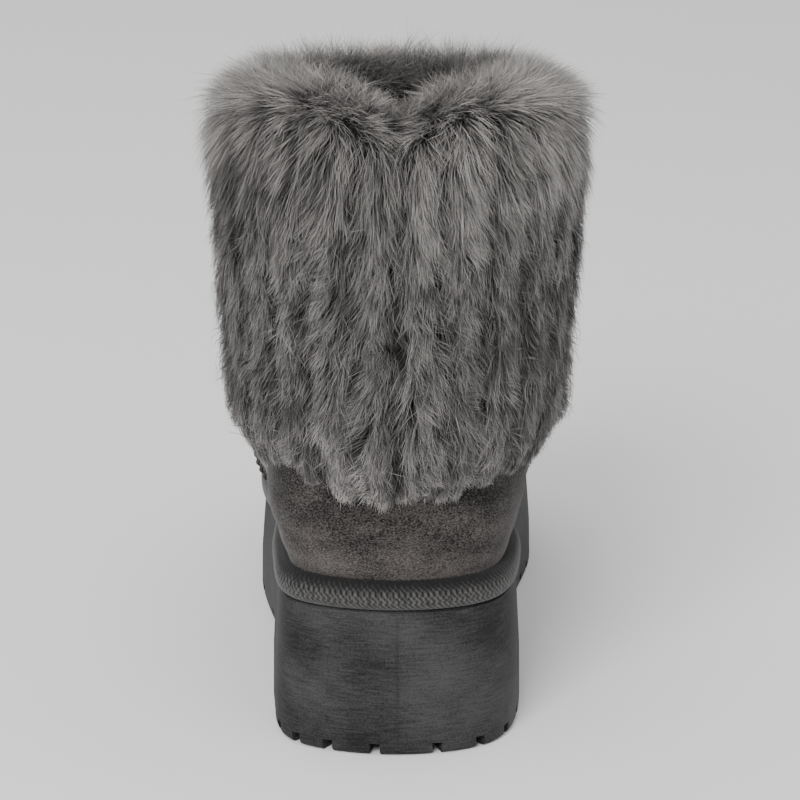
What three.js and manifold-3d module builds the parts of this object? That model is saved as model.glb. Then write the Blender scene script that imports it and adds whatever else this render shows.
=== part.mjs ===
// A left snow boot on a thick moulded platform sole, with a suede foot and a deep fur shaft.
//
// Frame: millimetres, +Z up, the toe points along +Y and the inner (medial) side of the foot is +X.
// The origin is on the floor under the centre of the heel.
//
// A maker would put together five pieces: the moulded sole with its lugs, the woven tape that hides
// the joint of sole and upper, the suede upper with its raised side seams, the insole and the fur shaft.

import * as THREE from 'three';
import { mergeVertices } from 'three/addons/utils/BufferGeometryUtils.js';
import Module from 'manifold-3d';

const wasm = await Module();
wasm.setup();

// Driving sizes of the sole

const SOLE_LENGTH = 270; // back of the heel to the tip of the toe
const HEEL_WIDTH = 85;
const BALL_WIDTH = 105;
const HEEL_HEIGHT = 50; // floor to the top edge of the platform, at the back
const FORE_HEIGHT = 38; // the same at the ball of the foot
const TOE_RISE = 6; // how far the top edge climbs again from the ball to the toe
const TOE_SPRING = 9; // how far the underside lifts off the floor at the tip of the toe
const WALL_LEAN = 2; // how far the sole's wall leans in from its foot to its top edge
const ARCH_RISE = 2.5; // hollow under the waist
const LUG_DEPTH = 4;
const RIM_LUG_WIDTH = 15; // from the sole's edge in to the channel
const CHANNEL_WIDTH = 5;
const NOTCH_WIDTH = 3.4;

// Driving sizes of the upper

const WALL = 3.2; // suede with its short wool lining
const RIM_MARGIN = 7; // from the sole's edge in to the foot of the upper
const COLLAR_RISE = 159; // top of the sole to the collar's top edge, at the back
const COLLAR_SLOPE = 12; // how much lower the collar is in front
const COLLAR_BACK = 40; // from the heel's centre to the back of the collar
const COLLAR_FRONT = 78;
const COLLAR_WIDTH = 91;
const ANKLE_WIDTH = 92; // the widest place over the heel, just under the fur
const SEAM_WIDTH = 4.4;
const SEAM_HEIGHT = 1.7;
const SEAM_START = 52; // where the side seam leaves the sole, ahead of the heel's centre
const SEAM_LEAN = 40; // degrees that the seam leans towards the toe
const SIDE_SWELL = 7.5; // how far the soft suede bulges out over each side of the waist

// Driving sizes of the tape, the insole and the fur

const TAPE_HEIGHT = 10;
const TAPE_PROUD = 1.6; // how far the tape stands out over the sole's top edge
const INSOLE_THICKNESS = 6;
const FUR_DEPTH = 15.5; // from the shaft to the fur's outside
const FUR_LIP = 11; // from the lining to the fur's inside, at the collar
const FUR_CREST = 12; // how far the fur stands over the collar's edge
const HEM_RISE_BACK = 41; // top of the sole to the fur's lower edge, at the back
const STRIP_COUNT = 26; // upright strips of pelt around the shaft
const STRIP_RELIEF = 2.6; // how deep the furrows between the strips are
const LOCK_LENGTH = 27;
const LOCK_WIDTH = 11;
const LOCK_THICKNESS = 6;
const NOTCH_DROP = 6; // dip in the collar where the fur meets at the back seam
const NOTCH_SPREAD = 13; // half-width of that dip
const GAP = 0.3; // clearance between pieces that touch

const HEEL = HEEL_WIDTH / 2;
const BALL = BALL_WIDTH / 2;
const FOREPART = SOLE_LENGTH - HEEL; // centre of the heel to the tip of the toe

// Small helpers

const mix = (a, b, share) => a + (b - a) * share;
const clamp = (v) => Math.min(1, Math.max(0, v));
const ease = (v) => {
  const t = clamp(v);
  return t * t * (3 - 2 * t);
};
const bell = (v, spread) => Math.exp(-((v / spread) ** 2));
const degrees = (v) => (v * Math.PI) / 180;

// The plan of a left foot. Each row is one point of the closed outline, from the back round by the
// outer side. heelX and ballX are shares of the two half-widths, heelY is a share of the heel's
// half-width, foreY a share of the forepart, and turn is the same point's place on an oval.
const FOOT = [
  { heelX: 0.0, ballX: 0.0, heelY: -1.0, foreY: 0.0, turn: 0 },
  { heelX: -0.82, ballX: 0.0, heelY: -0.74, foreY: 0.0, turn: 34 },
  { heelX: -1.0, ballX: 0.0, heelY: 0.0, foreY: 0.01, turn: 64 },
  { heelX: -0.44, ballX: -0.48, heelY: 0.0, foreY: 0.26, turn: 92 },
  { heelX: 0.0, ballX: -1.0, heelY: 0.0, foreY: 0.53, turn: 118 },
  { heelX: 0.0, ballX: -0.9, heelY: 0.0, foreY: 0.77, turn: 142 },
  { heelX: 0.0, ballX: -0.52, heelY: 0.0, foreY: 0.945, turn: 163 },
  { heelX: 0.0, ballX: 0.09, heelY: 0.0, foreY: 1.0, turn: 181 },
  { heelX: 0.0, ballX: 0.64, heelY: 0.0, foreY: 0.94, turn: 199 },
  { heelX: 0.0, ballX: 0.94, heelY: 0.0, foreY: 0.79, turn: 218 },
  { heelX: 0.0, ballX: 1.0, heelY: 0.0, foreY: 0.62, turn: 240 },
  { heelX: 0.36, ballX: 0.46, heelY: 0.0, foreY: 0.31, turn: 268 },
  { heelX: 1.0, ballX: 0.0, heelY: 0.0, foreY: 0.03, turn: 298 },
  { heelX: 0.78, ballX: 0.0, heelY: -0.73, foreY: 0.0, turn: 328 },
];

// A closed outline in plan. `oval` turns the foot's plan into an ellipse of the same length.
function plan({ heel, ball, front, oval = 0, halfWidth = ball }, samplesPerPoint) {
  const centre = (front - heel) / 2;
  const points = FOOT.map((p) => {
    const footX = p.heelX * heel + p.ballX * ball;
    const footY = p.heelY * heel + p.foreY * front;
    const ovalX = -Math.sin(degrees(p.turn)) * halfWidth;
    const ovalY = centre - Math.cos(degrees(p.turn)) * ((front + heel) / 2);
    return new THREE.Vector3(mix(footX, ovalX, oval), mix(footY, ovalY, oval), 0);
  });
  const curve = new THREE.CatmullRomCurve3(points, true, 'catmullrom', 0.5);
  const count = FOOT.length * samplesPerPoint;
  return Array.from({ length: count }, (_, i) => curve.getPoint(i / count));
}

// Height of the platform's top, and of its underside, along the foot
function topOfSole(y) {
  const fall = (HEEL_HEIGHT - FORE_HEIGHT) * ease(y / (0.53 * FOREPART));
  const climb = TOE_RISE * clamp((y / FOREPART - 0.62) / 0.38) ** 2;
  return HEEL_HEIGHT - fall + climb;
}

function underside(y) {
  const spring = TOE_SPRING * clamp((y / FOREPART - 0.66) / 0.34) ** 2;
  const arch = ARCH_RISE * ease(1 - Math.abs(y / FOREPART - 0.24) / 0.16);
  return spring + arch;
}

// Everything between two heights, as a solid as wide as needed: the height is a function of y
function between(low, high) {
  const count = 24;
  const [from, to] = [-HEEL - 10, FOREPART + 10];
  const along = Array.from({ length: count + 1 }, (_, i) => mix(from, to, i / count));
  const outline = [
    ...along.map((y) => [y, low(y)]),
    ...along.reverse().map((y) => [y, high(y)]),
  ];
  return wasm.CrossSection.ofPolygons([outline])
    .extrude(2 * BALL_WIDTH)
    .translate([0, 0, -BALL_WIDTH])
    .rotate([90, 0, 90]);
}

// Solids from rings of points

// A ring's winding may differ from the loft's, so a solid that comes out inside out is turned round.
function solidFrom(positions, triangles) {
  const make = (tris) =>
    new wasm.Manifold(
      new wasm.Mesh({
        numProp: 3,
        vertProperties: new Float32Array(positions.flat()),
        triVerts: new Uint32Array(tris.flat()),
      }),
    );
  const made = make(triangles);
  return made.volume() > 0 ? made : make(triangles.map(([a, b, c]) => [a, c, b]));
}

function sides(rings, triangles, closed) {
  const around = rings[0].length;
  const last = closed ? rings.length : rings.length - 1;
  for (let r = 0; r < last; r++) {
    const next = (r + 1) % rings.length;
    for (let i = 0; i < around; i++) {
      const j = (i + 1) % around;
      const [a, b] = [r * around + i, r * around + j];
      const [c, d] = [next * around + i, next * around + j];
      triangles.push([a, b, d], [a, d, c]);
    }
  }
}

// A solid loft with a fan over its first and its last ring
function loft(rings) {
  const around = rings[0].length;
  const positions = rings.flat().map((p) => [p.x, p.y, p.z]);
  const triangles = [];
  sides(rings, triangles, false);
  [0, rings.length - 1].forEach((r) => {
    const middle = rings[r]
      .reduce((sum, p) => sum.add(p), new THREE.Vector3())
      .divideScalar(around);
    positions.push([middle.x, middle.y, middle.z]);
    for (let i = 0; i < around; i++) {
      const [a, b] = [r * around + i, r * around + ((i + 1) % around)];
      triangles.push(r === 0 ? [b, a, positions.length - 1] : [a, b, positions.length - 1]);
    }
  });
  return solidFrom(positions, triangles);
}

// A hollow wall: the outer rings up, then the inner rings down, closed on itself
function wallBetween(outer, inner) {
  const rings = [...outer, ...inner.slice().reverse()];
  const triangles = [];
  sides(rings, triangles, true);
  return solidFrom(rings.flat().map((p) => [p.x, p.y, p.z]), triangles);
}

function fromGeometry(geometry) {
  const bare = geometry.clone();
  bare.deleteAttribute('normal');
  bare.deleteAttribute('uv');
  const merged = mergeVertices(bare, 1e-4);
  return new wasm.Manifold(
    new wasm.Mesh({
      numProp: 3,
      vertProperties: merged.attributes.position.array,
      triVerts: new Uint32Array(merged.index.array),
    }),
  );
}

function joined(solids) {
  return solids.reduce((sum, s) => sum.add(s));
}

// Sole: a platform with an upright wall, cut from below into lugs

const SOLE_SAMPLES = 3;

// One outline of the sole's wall, `inset` in from its foot
function soleRing(inset, height) {
  return plan(
    { heel: HEEL - inset, ball: BALL - inset, front: FOREPART - inset },
    SOLE_SAMPLES,
  ).map((p) => new THREE.Vector3(p.x, p.y, height(p.y)));
}

// Heights of the wall's rings, as shares from the underside to the top, with their inset
const SOLE_WALL = [
  { share: -0.02, inset: 1.6 },
  { share: 0.025, inset: 0.0 },
  { share: 0.4, inset: 0.15 * WALL_LEAN },
  { share: 0.96, inset: WALL_LEAN },
  { share: 1.05, inset: WALL_LEAN + 1.6 },
];
const BEYOND = 10; // how far the wall runs on past both ends, where it is cut to its true form

// Notches in the rim, placed by their ray from the heel's centre or from the ball's centre. Each
// angle is in degrees from straight back, positive to the outer side.
const HEEL_NOTCHES = [10, 31, 46, 60, 78, -18, -38, -55, -74];
const FORE_NOTCHES = [62, 76, 92, 110, 130, 152, 174, -164, -142, -122, -104, -88, -72];
const SIDE_NOTCHES = { outer: [0.14, 0.24, 0.34], inner: [0.16, 0.28] }; // shares of the forepart

function notch(centreY, angle, reach) {
  const from = reach - RIM_LUG_WIDTH - CHANNEL_WIDTH;
  const length = RIM_LUG_WIDTH + CHANNEL_WIDTH + 40;
  const bar = new THREE.BoxGeometry(NOTCH_WIDTH, length, 2 * LUG_DEPTH);
  bar.translate(0, -(from + length / 2), 0);
  bar.rotateZ(-degrees(angle));
  const tip = new THREE.Vector3(0, -reach, 0).applyAxisAngle(
    new THREE.Vector3(0, 0, 1),
    -degrees(angle),
  );
  bar.translate(0, centreY, underside(centreY + tip.y));
  return fromGeometry(bar);
}

// The channel that parts the rim's lugs from the middle ones
function channel() {
  const at = (inset, lift) => soleRing(inset, (y) => underside(y) + lift);
  const [outside, inside] = [RIM_LUG_WIDTH, RIM_LUG_WIDTH + CHANNEL_WIDTH];
  return wallBetween(
    [at(outside, -LUG_DEPTH), at(outside, LUG_DEPTH)],
    [at(inside, -LUG_DEPTH), at(inside, LUG_DEPTH)],
  );
}

// Grooves across the middle, which leave a row of bars
function crossGroove(share) {
  const y = share * FOREPART;
  const groove = new THREE.BoxGeometry(
    BALL_WIDTH - 2 * RIM_LUG_WIDTH - CHANNEL_WIDTH,
    CHANNEL_WIDTH,
    2 * LUG_DEPTH,
  );
  groove.translate(0, y, underside(y));
  return fromGeometry(groove);
}

// Only the part of a groove that lies inside the channel is cut
function insideChannel(solid) {
  const inset = RIM_LUG_WIDTH + CHANNEL_WIDTH / 2;
  const at = (lift) => soleRing(inset, (y) => underside(y) + lift);
  return solid.intersect(loft([at(-2 * LUG_DEPTH), at(2 * LUG_DEPTH)]));
}

const CROSS_GROOVES = [0.1, 0.22, 0.32, 0.43, 0.54, 0.65, 0.76];

function makeSole() {
  const rings = [
    soleRing(SOLE_WALL[0].inset, () => -BEYOND),
    ...SOLE_WALL.map(({ share, inset }) =>
      soleRing(inset, (y) => mix(underside(y), topOfSole(y), share)),
    ),
    soleRing(SOLE_WALL.at(-1).inset, () => HEEL_HEIGHT + BEYOND),
  ];
  const ballY = 0.58 * FOREPART;
  const sideNotch = (y, angle) => notch(y, angle, BALL);
  const cutters = [
    channel(),
    ...HEEL_NOTCHES.map((angle) => notch(0, angle, HEEL)),
    ...FORE_NOTCHES.map((angle) => notch(ballY, angle, BALL)),
    ...SIDE_NOTCHES.outer.map((share) => sideNotch(share * FOREPART, 90)),
    ...SIDE_NOTCHES.inner.map((share) => sideNotch(share * FOREPART, -90)),
    insideChannel(joined(CROSS_GROOVES.map(crossGroove))),
  ];
  return loft(rings)
    .intersect(between(underside, topOfSole))
    .subtract(joined(cutters));
}

// All that rests on the sole keeps a small clearance from it
const clearOfSole = between(
  () => -10,
  (y) => topOfSole(y) + GAP,
);

// Upper: rings from the feather line over the toe and instep to the collar. rise is a share of
// COLLAR_RISE above the sole's top, at the back and at the front of the ring. heel is a share of
// the ankle's half-width, ball of the ball's half-width, front of the forepart. oval and shaft turn
// the foot's plan into the shaft's.
const UPPER = [
  { riseBack: 0.002, riseFront: 0.002, heel: 0.77, ball: 0.867, front: 0.969, oval: 0.0, shaft: 0 },
  { riseBack: 0.061, riseFront: 0.056, heel: 0.82, ball: 0.9, front: 0.985, oval: 0.0, shaft: 0 },
  { riseBack: 0.122, riseFront: 0.122, heel: 0.885, ball: 0.905, front: 0.972, oval: 0.0, shaft: 0 },
  { riseBack: 0.187, riseFront: 0.192, heel: 0.945, ball: 0.885, front: 0.92, oval: 0.06, shaft: 0 },
  { riseBack: 0.257, riseFront: 0.281, heel: 0.985, ball: 0.85, front: 0.81, oval: 0.22, shaft: 0 },
  { riseBack: 0.337, riseFront: 0.384, heel: 1.0, ball: 0.83, front: 0.645, oval: 0.5, shaft: 0.05 },
  { riseBack: 0.449, riseFront: 0.533, heel: 1.0, ball: 0.82, front: 0.48, oval: 0.85, shaft: 0.35 },
  { riseBack: 0.608, riseFront: 0.683, heel: 1.0, ball: 0.82, front: 0.385, oval: 1.0, shaft: 0.7 },
  { riseBack: 1.0, riseFront: 0.973, heel: 1.0, ball: 0.82, front: 0.35, oval: 1.0, shaft: 1 },
];

const UPPER_SAMPLES = 3;
const UPPER_LEVELS = 11;

// Cubic interpolation of one column of a table, at a place from 0 to 1 along its rows
function column(table, name, place) {
  const at = place * (table.length - 1);
  const i = Math.min(table.length - 2, Math.floor(at));
  const t = at - i;
  const value = (k) => table[Math.min(table.length - 1, Math.max(0, k))][name];
  const [a, b, c, d] = [value(i - 1), value(i), value(i + 1), value(i + 2)];
  const slopes = [(c - a) / 2, (d - b) / 2];
  const t2 = t * t;
  const t3 = t2 * t;
  return (
    (2 * t3 - 3 * t2 + 1) * b +
    (t3 - 2 * t2 + t) * slopes[0] +
    (3 * t2 - 2 * t3) * c +
    (t3 - t2) * slopes[1]
  );
}

// The dip of the collar at the back seam, which fades out down the shaft
function seamDip(x, y, height) {
  const back = clamp(-y / HEEL + 0.2);
  return NOTCH_DROP * bell(x, NOTCH_SPREAD) * back * ease(height);
}

// The bulge of the suede over the waist, where the side seams lie
function sideSwell(x, y, z) {
  const side = Math.sign(x) * ease(Math.abs(x) / 25);
  return side * SIDE_SWELL * bell(y - 66, 24) * bell(z - HEEL_HEIGHT - 21, 14);
}

// The upper's outside at a place from 0, the feather line, to 1, the collar
function upperRing(place) {
  const pick = (name) => column(UPPER, name, place);
  const shaft = ease(pick('shaft'));
  const foot = {
    heel: mix((pick('heel') * ANKLE_WIDTH) / 2, COLLAR_BACK, shaft),
    ball: pick('ball') * BALL,
    front: mix(pick('front') * FOREPART, COLLAR_FRONT, shaft),
    oval: clamp(pick('oval')),
    halfWidth: COLLAR_WIDTH / 2,
  };
  const [back, front] = [pick('riseBack') * COLLAR_RISE, pick('riseFront') * COLLAR_RISE];
  return plan(foot, UPPER_SAMPLES).map((p) => {
    const along = (p.y + foot.heel) / (foot.front + foot.heel);
    const dip = seamDip(p.x, p.y, (place - 0.75) / 0.25);
    const z = topOfSole(p.y) + mix(back, front, along) - dip;
    return new THREE.Vector3(p.x + sideSwell(p.x, p.y, z), p.y, z);
  });
}

const upperRings = Array.from({ length: UPPER_LEVELS }, (_, i) =>
  upperRing(i / (UPPER_LEVELS - 1)),
);

// The same rings moved out by `distance` along the surface, or in where it is negative
function offsetRings(rings, distance) {
  const around = rings[0].length;
  return rings.map((ring, r) =>
    ring.map((p, i) => {
      const along = ring[(i + 1) % around].clone().sub(ring[(i + around - 1) % around]);
      const up = rings[Math.min(rings.length - 1, r + 1)][i]
        .clone()
        .sub(rings[Math.max(0, r - 1)][i]);
      const normal = up.cross(along).normalize();
      if (r === 0 || r === rings.length - 1) normal.setZ(0).normalize();
      return p.clone().addScaledVector(normal, distance);
    }),
  );
}

// The space that the upper takes up, filled and grown by `distance`, from under the feather line
// to `over` above the collar
function envelope(distance, over) {
  const grown = offsetRings(upperRings, distance);
  const lowest = grown[0].map((p) => p.clone().setZ(p.z - 3 * GAP));
  const highest = grown.at(-1).map((p) => p.clone().setZ(p.z + over));
  return loft([lowest, ...grown.slice(1), highest]);
}

// The raised seam where vamp and heel part are joined, on both sides and over the instep
function seamRidge(height, width) {
  const reach = COLLAR_RISE * 2;
  const slab = new THREE.BoxGeometry(BALL_WIDTH * 2, width, reach);
  slab.translate(0, 0, reach / 2 - RIM_MARGIN);
  slab.rotateX(-degrees(SEAM_LEAN));
  slab.translate(0, SEAM_START, topOfSole(SEAM_START));
  const raised = offsetRings(upperRings, height);
  const sunk = offsetRings(upperRings, -WALL / 2);
  return wallBetween(raised, sunk).intersect(fromGeometry(slab));
}

function makeUpper() {
  const wall = wallBetween(upperRings, offsetRings(upperRings, -WALL));
  return wall.add(seamRidge(SEAM_HEIGHT, SEAM_WIDTH)).subtract(clearOfSole);
}

const clearOfUpper = joined([
  envelope(GAP, 3 * GAP),
  seamRidge(SEAM_HEIGHT + GAP, SEAM_WIDTH + 2 * GAP),
]);

// Tape: a soft roll on the sole's top edge, against the foot of the upper. rise is a share of
// TAPE_HEIGHT, and proud is a share of TAPE_PROUD out from the sole's top edge.
const TAPE = [
  { rise: 0.03, proud: 0.1 },
  { rise: 0.2, proud: 0.85 },
  { rise: 0.5, proud: 1.0 },
  { rise: 0.78, proud: 0.35 },
  { rise: 0.95, proud: -1.3 },
  { rise: 1.0, proud: -3.4 },
];

function makeTape() {
  const rings = TAPE.map(({ rise, proud }) =>
    soleRing(WALL_LEAN - proud * TAPE_PROUD, (y) => topOfSole(y) + rise * TAPE_HEIGHT),
  );
  return loft(rings).subtract(clearOfUpper).subtract(clearOfSole);
}

// Insole: the cushioned sock that fills the upper's floor
function makeInsole() {
  // Twice the gap, because the wall's facets stand in a little where the waist swells
  const inner = offsetRings(upperRings, -(WALL + 2 * GAP));
  const above = inner.findIndex((ring) => ring[0].z > HEEL_HEIGHT + 2 * INSOLE_THICKNESS);
  const bottom = (y) => topOfSole(y) + GAP;
  return loft(inner.slice(0, above + 1))
    .intersect(between(bottom, (y) => bottom(y) + INSOLE_THICKNESS));
}

// Fur shaft: a deep pelt around the shaft, rolled over the collar, with locks fused on

// Outside of the fur, from its hem to its crest. rise is a share of the way up, depth a share of
// FUR_DEPTH out from the shaft.
const FUR = [
  { rise: 0.0, depth: 0.16 },
  { rise: 0.05, depth: 0.42 },
  { rise: 0.13, depth: 0.76 },
  { rise: 0.3, depth: 0.85 },
  { rise: 0.5, depth: 0.92 },
  { rise: 0.72, depth: 1.0 },
  { rise: 0.88, depth: 0.94 },
  { rise: 0.965, depth: 0.68 },
  { rise: 1.0, depth: -0.1 },
];

const HEM_FRONT_EXTRA = 24; // how much higher the fur's edge lies on the instep than at the back
const HEM_SIDE_DROP = 3; // how much lower it hangs at the sides
const INSTEP_REACH = 26; // how far the lower fur reaches out over the instep

// Height of the fur's lower edge above the floor
function hemHeight(y) {
  const level = HEEL_HEIGHT + HEM_RISE_BACK;
  const side = HEM_SIDE_DROP * bell(y - 0.1 * FOREPART, 0.17 * FOREPART);
  return level - side + HEM_FRONT_EXTRA * ease((y - 0.15 * FOREPART) / (0.32 * FOREPART));
}

// Height of the fur's crest above the floor
function crestHeight(y) {
  const along = clamp((y + COLLAR_BACK) / (COLLAR_BACK + COLLAR_FRONT));
  return HEEL_HEIGHT + COLLAR_RISE - COLLAR_SLOPE * along + FUR_CREST;
}

// A point on the shaft's oval, moved out by `depth`, at a share `around` of the turn from the back
function shaftPoint(around, depth, rise, z) {
  const low = 1 - ease(rise * 1.6);
  const back = mix(COLLAR_BACK, ANKLE_WIDTH / 2, low) + depth;
  const front = COLLAR_FRONT + INSTEP_REACH * low + depth;
  const angle = around * 2 * Math.PI;
  const x = -Math.sin(angle) * (COLLAR_WIDTH / 2 + depth);
  const y = (front - back) / 2 - (Math.cos(angle) * (front + back)) / 2;
  return new THREE.Vector3(x, y, z);
}

// One point of the fur's outside, at a share `up` of its height. The furrows between the strips
// fade out towards the crest.
function furPoint(up, around, extra = 0) {
  const rise = clamp(column(FUR, 'rise', up));
  const crown = Math.abs(Math.sin(around * STRIP_COUNT * Math.PI)) - 0.5;
  const relief = STRIP_RELIEF * crown * (1 - ease((up - 0.9) / 0.1));
  const depth = column(FUR, 'depth', up) * FUR_DEPTH + relief + extra;
  const point = shaftPoint(around, depth, rise, 0);
  const dip = 1.15 * seamDip(point.x, point.y, (rise - 0.7) / 0.3);
  return point.setZ(mix(hemHeight(point.y), crestHeight(point.y), rise) - dip);
}

function furBody() {
  const around = STRIP_COUNT * 2;
  const levels = 10;
  return loft(
    Array.from({ length: levels }, (_, l) =>
      Array.from({ length: around }, (_, i) => furPoint(l / (levels - 1), i / around)),
    ),
  );
}

// Rows of locks: where they are rooted, how many degrees their tips stand out from straight down,
// and their length as a share of LOCK_LENGTH. Every other lock is rooted `stagger` higher.
const LOCKS = [
  { up: 0.3, stagger: 0.02, lean: 6, length: 1.0 },
  { up: 0.52, stagger: 0.14, lean: 13, length: 1.0 },
  { up: 0.93, stagger: -0.02, lean: 145, length: 0.55 },
];
const NAP_TURN = 20; // degrees that the nap turns away from the back seam, at most

// A lock is a flat cone with its root in the fur
function lock(up, around, lean, length) {
  const sunk = -0.3 * LOCK_THICKNESS;
  const root = furPoint(up, around, sunk);
  const before = furPoint(up, around - 0.01, sunk);
  const aside = furPoint(up, around + 0.01, sunk).sub(before).setZ(0).normalize();
  const out = new THREE.Vector3(aside.y, -aside.x, 0);
  if (out.x * root.x < 0) out.negate();
  const flow = Math.sin(around * 2 * Math.PI) * Math.tan(degrees(NAP_TURN));
  const tip = new THREE.Vector3(0, 0, -Math.cos(degrees(lean)))
    .addScaledVector(out, Math.sin(degrees(lean)))
    .addScaledVector(aside, flow)
    .normalize();
  const across = tip.clone().cross(out).normalize();
  const face = across.clone().cross(tip).normalize();
  const cone = new THREE.ConeGeometry(LOCK_WIDTH / 2, LOCK_LENGTH * length, 3, 1);
  cone.scale(1, 1, LOCK_THICKNESS / LOCK_WIDTH);
  cone.applyMatrix4(new THREE.Matrix4().makeBasis(across, tip, face));
  cone.translate(root.x, root.y, root.z);
  return fromGeometry(cone);
}

function locks() {
  return LOCKS.flatMap((row) =>
    Array.from({ length: STRIP_COUNT }, (_, strip) => {
      const up = row.up + (strip % 2) * row.stagger;
      return lock(up, (strip + 0.5) / STRIP_COUNT, row.lean, row.length);
    }),
  );
}

// The hollow inside the fur's lip. drop is in millimetres under the crest, depth is a share of
// FUR_LIP in from the lining.
const LIP = [
  { drop: 62, depth: 0.5 },
  { drop: 50, depth: 0.75 },
  { drop: 36, depth: 1.0 },
  { drop: 16, depth: 0.95 },
  { drop: 6, depth: 0.5 },
  { drop: -4, depth: -0.25 },
];

// A point under the crest, which slopes to the front
function slopedPoint(around, depth, drop) {
  const point = shaftPoint(around, depth, 1, 0);
  return point.setZ(crestHeight(point.y) - drop);
}

function lipHollow() {
  const count = STRIP_COUNT * 2;
  return loft(
    LIP.map(({ drop, depth }) =>
      Array.from({ length: count }, (_, i) =>
        slopedPoint(i / count, -(WALL + GAP + depth * FUR_LIP), drop),
      ),
    ),
  );
}

// The fur that lines the collar, from the upper's last ring but one to just over its edge
function lip() {
  const [low, high] = offsetRings(upperRings, -(WALL + GAP)).slice(-2);
  return loft([low, high, high.map((p) => p.clone().setZ(p.z + FUR_CREST / 4))]);
}

function makeFurShaft() {
  return joined([furBody(), ...locks()])
    .subtract(clearOfUpper)
    .add(lip())
    .subtract(lipHollow());
}

// Scene graph

const COLOURS = {
  sole: { color: 0x424242, roughness: 0.85 },
  welt_tape: { color: 0x3a3838, roughness: 0.95 },
  upper: { color: 0x4b4644, roughness: 1.0 },
  insole: { color: 0x77726e, roughness: 1.0 },
  fur_shaft: { color: 0x6c6967, roughness: 1.0 },
};

function meshOf(name, solid) {
  const { vertProperties, triVerts, numProp } = solid.getMesh();
  const geometry = new THREE.BufferGeometry();
  geometry.setAttribute('position', new THREE.BufferAttribute(vertProperties, numProp));
  geometry.setIndex(new THREE.BufferAttribute(triVerts, 1));
  geometry.computeVertexNormals();
  const mesh = new THREE.Mesh(
    geometry,
    new THREE.MeshStandardMaterial({ metalness: 0, ...COLOURS[name] }),
  );
  mesh.name = name;
  return mesh;
}

const boot = new THREE.Group();
boot.name = 'snow_boot';
boot.add(
  meshOf('sole', makeSole()),
  meshOf('welt_tape', makeTape()),
  meshOf('upper', makeUpper()),
  meshOf('insole', makeInsole()),
  meshOf('fur_shaft', makeFurShaft()),
);

export default boot;
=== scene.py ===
"""A woman's left snow boot: a deep fur shaft over a suede foot, on a thick lugged platform sole.

Every length is in metres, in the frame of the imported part: the origin is on the floor under the
centre of the heel, the toe points along +Y, the inner side of the foot is +X, and +Z is up.
"""

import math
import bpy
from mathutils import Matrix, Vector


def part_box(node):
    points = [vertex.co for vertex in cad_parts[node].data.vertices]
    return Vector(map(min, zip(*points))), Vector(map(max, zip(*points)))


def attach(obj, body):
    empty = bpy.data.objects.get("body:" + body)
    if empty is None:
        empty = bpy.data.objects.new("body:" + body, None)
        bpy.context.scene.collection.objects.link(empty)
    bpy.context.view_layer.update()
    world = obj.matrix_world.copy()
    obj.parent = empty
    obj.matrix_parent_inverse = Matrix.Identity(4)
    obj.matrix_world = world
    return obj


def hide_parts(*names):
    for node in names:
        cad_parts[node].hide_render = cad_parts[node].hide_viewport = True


bl_info = {
    "name": "Snow boot",
    "version": (1, 0, 0),
    "blender": (4, 5, 0),
    "location": "3D View > Sidebar > Snow boot",
    "description": "Builds a fur-topped snow boot piece by piece around its packed solids",
    "category": "Add Mesh",
}

import bmesh
import bpy
import numpy as np
from bpy.props import FloatProperty, FloatVectorProperty, IntProperty, PointerProperty
from bpy.types import Operator, Panel, PropertyGroup
from mathutils import Vector

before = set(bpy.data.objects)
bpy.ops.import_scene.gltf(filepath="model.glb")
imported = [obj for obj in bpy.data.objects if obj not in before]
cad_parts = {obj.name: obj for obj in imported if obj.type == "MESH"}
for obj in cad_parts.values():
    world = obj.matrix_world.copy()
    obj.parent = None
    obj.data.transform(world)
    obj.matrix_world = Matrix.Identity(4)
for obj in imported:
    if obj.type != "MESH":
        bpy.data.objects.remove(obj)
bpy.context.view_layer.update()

MM = 0.001
GAP = 0.3 * MM

# Sizes that the solids give

SOLE_LOW, SOLE_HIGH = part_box("sole")
HEEL_HEIGHT = SOLE_HIGH.z
HEEL = -SOLE_LOW.y
FOREPART = SOLE_HIGH.y

# The ball's place as a share of the forepart, and how deep the collar dips at the back seam. The
# fur's crest dips a little more
BALL = 0.53
SEAM_DIP = 6 * MM
FUR_DIP = 1.15


# Sizes and colours that a user would change


def length(name, description, default, high=0.5):
    """A length that shows in the unit of the scene."""
    return FloatProperty(
        name=name,
        description=description,
        default=default,
        min=0.0,
        max=high,
        precision=5,
        unit="LENGTH",
    )


def paint(name, description, code):
    """A colour given as sRGB hex, kept as linear red, green and blue."""
    return FloatVectorProperty(
        name=name,
        description=description,
        default=linear(code)[:3],
        size=3,
        min=0.0,
        max=1.0,
        subtype="COLOR",
    )


def linear(code):
    """sRGB hex to linear red, green, blue and alpha."""
    parts = [int(code[i : i + 2], 16) / 255 for i in (1, 3, 5)]
    curve = [p / 12.92 if p <= 0.04045 else ((p + 0.055) / 1.055) ** 2.4 for p in parts]
    return (*curve, 1.0)


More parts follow.
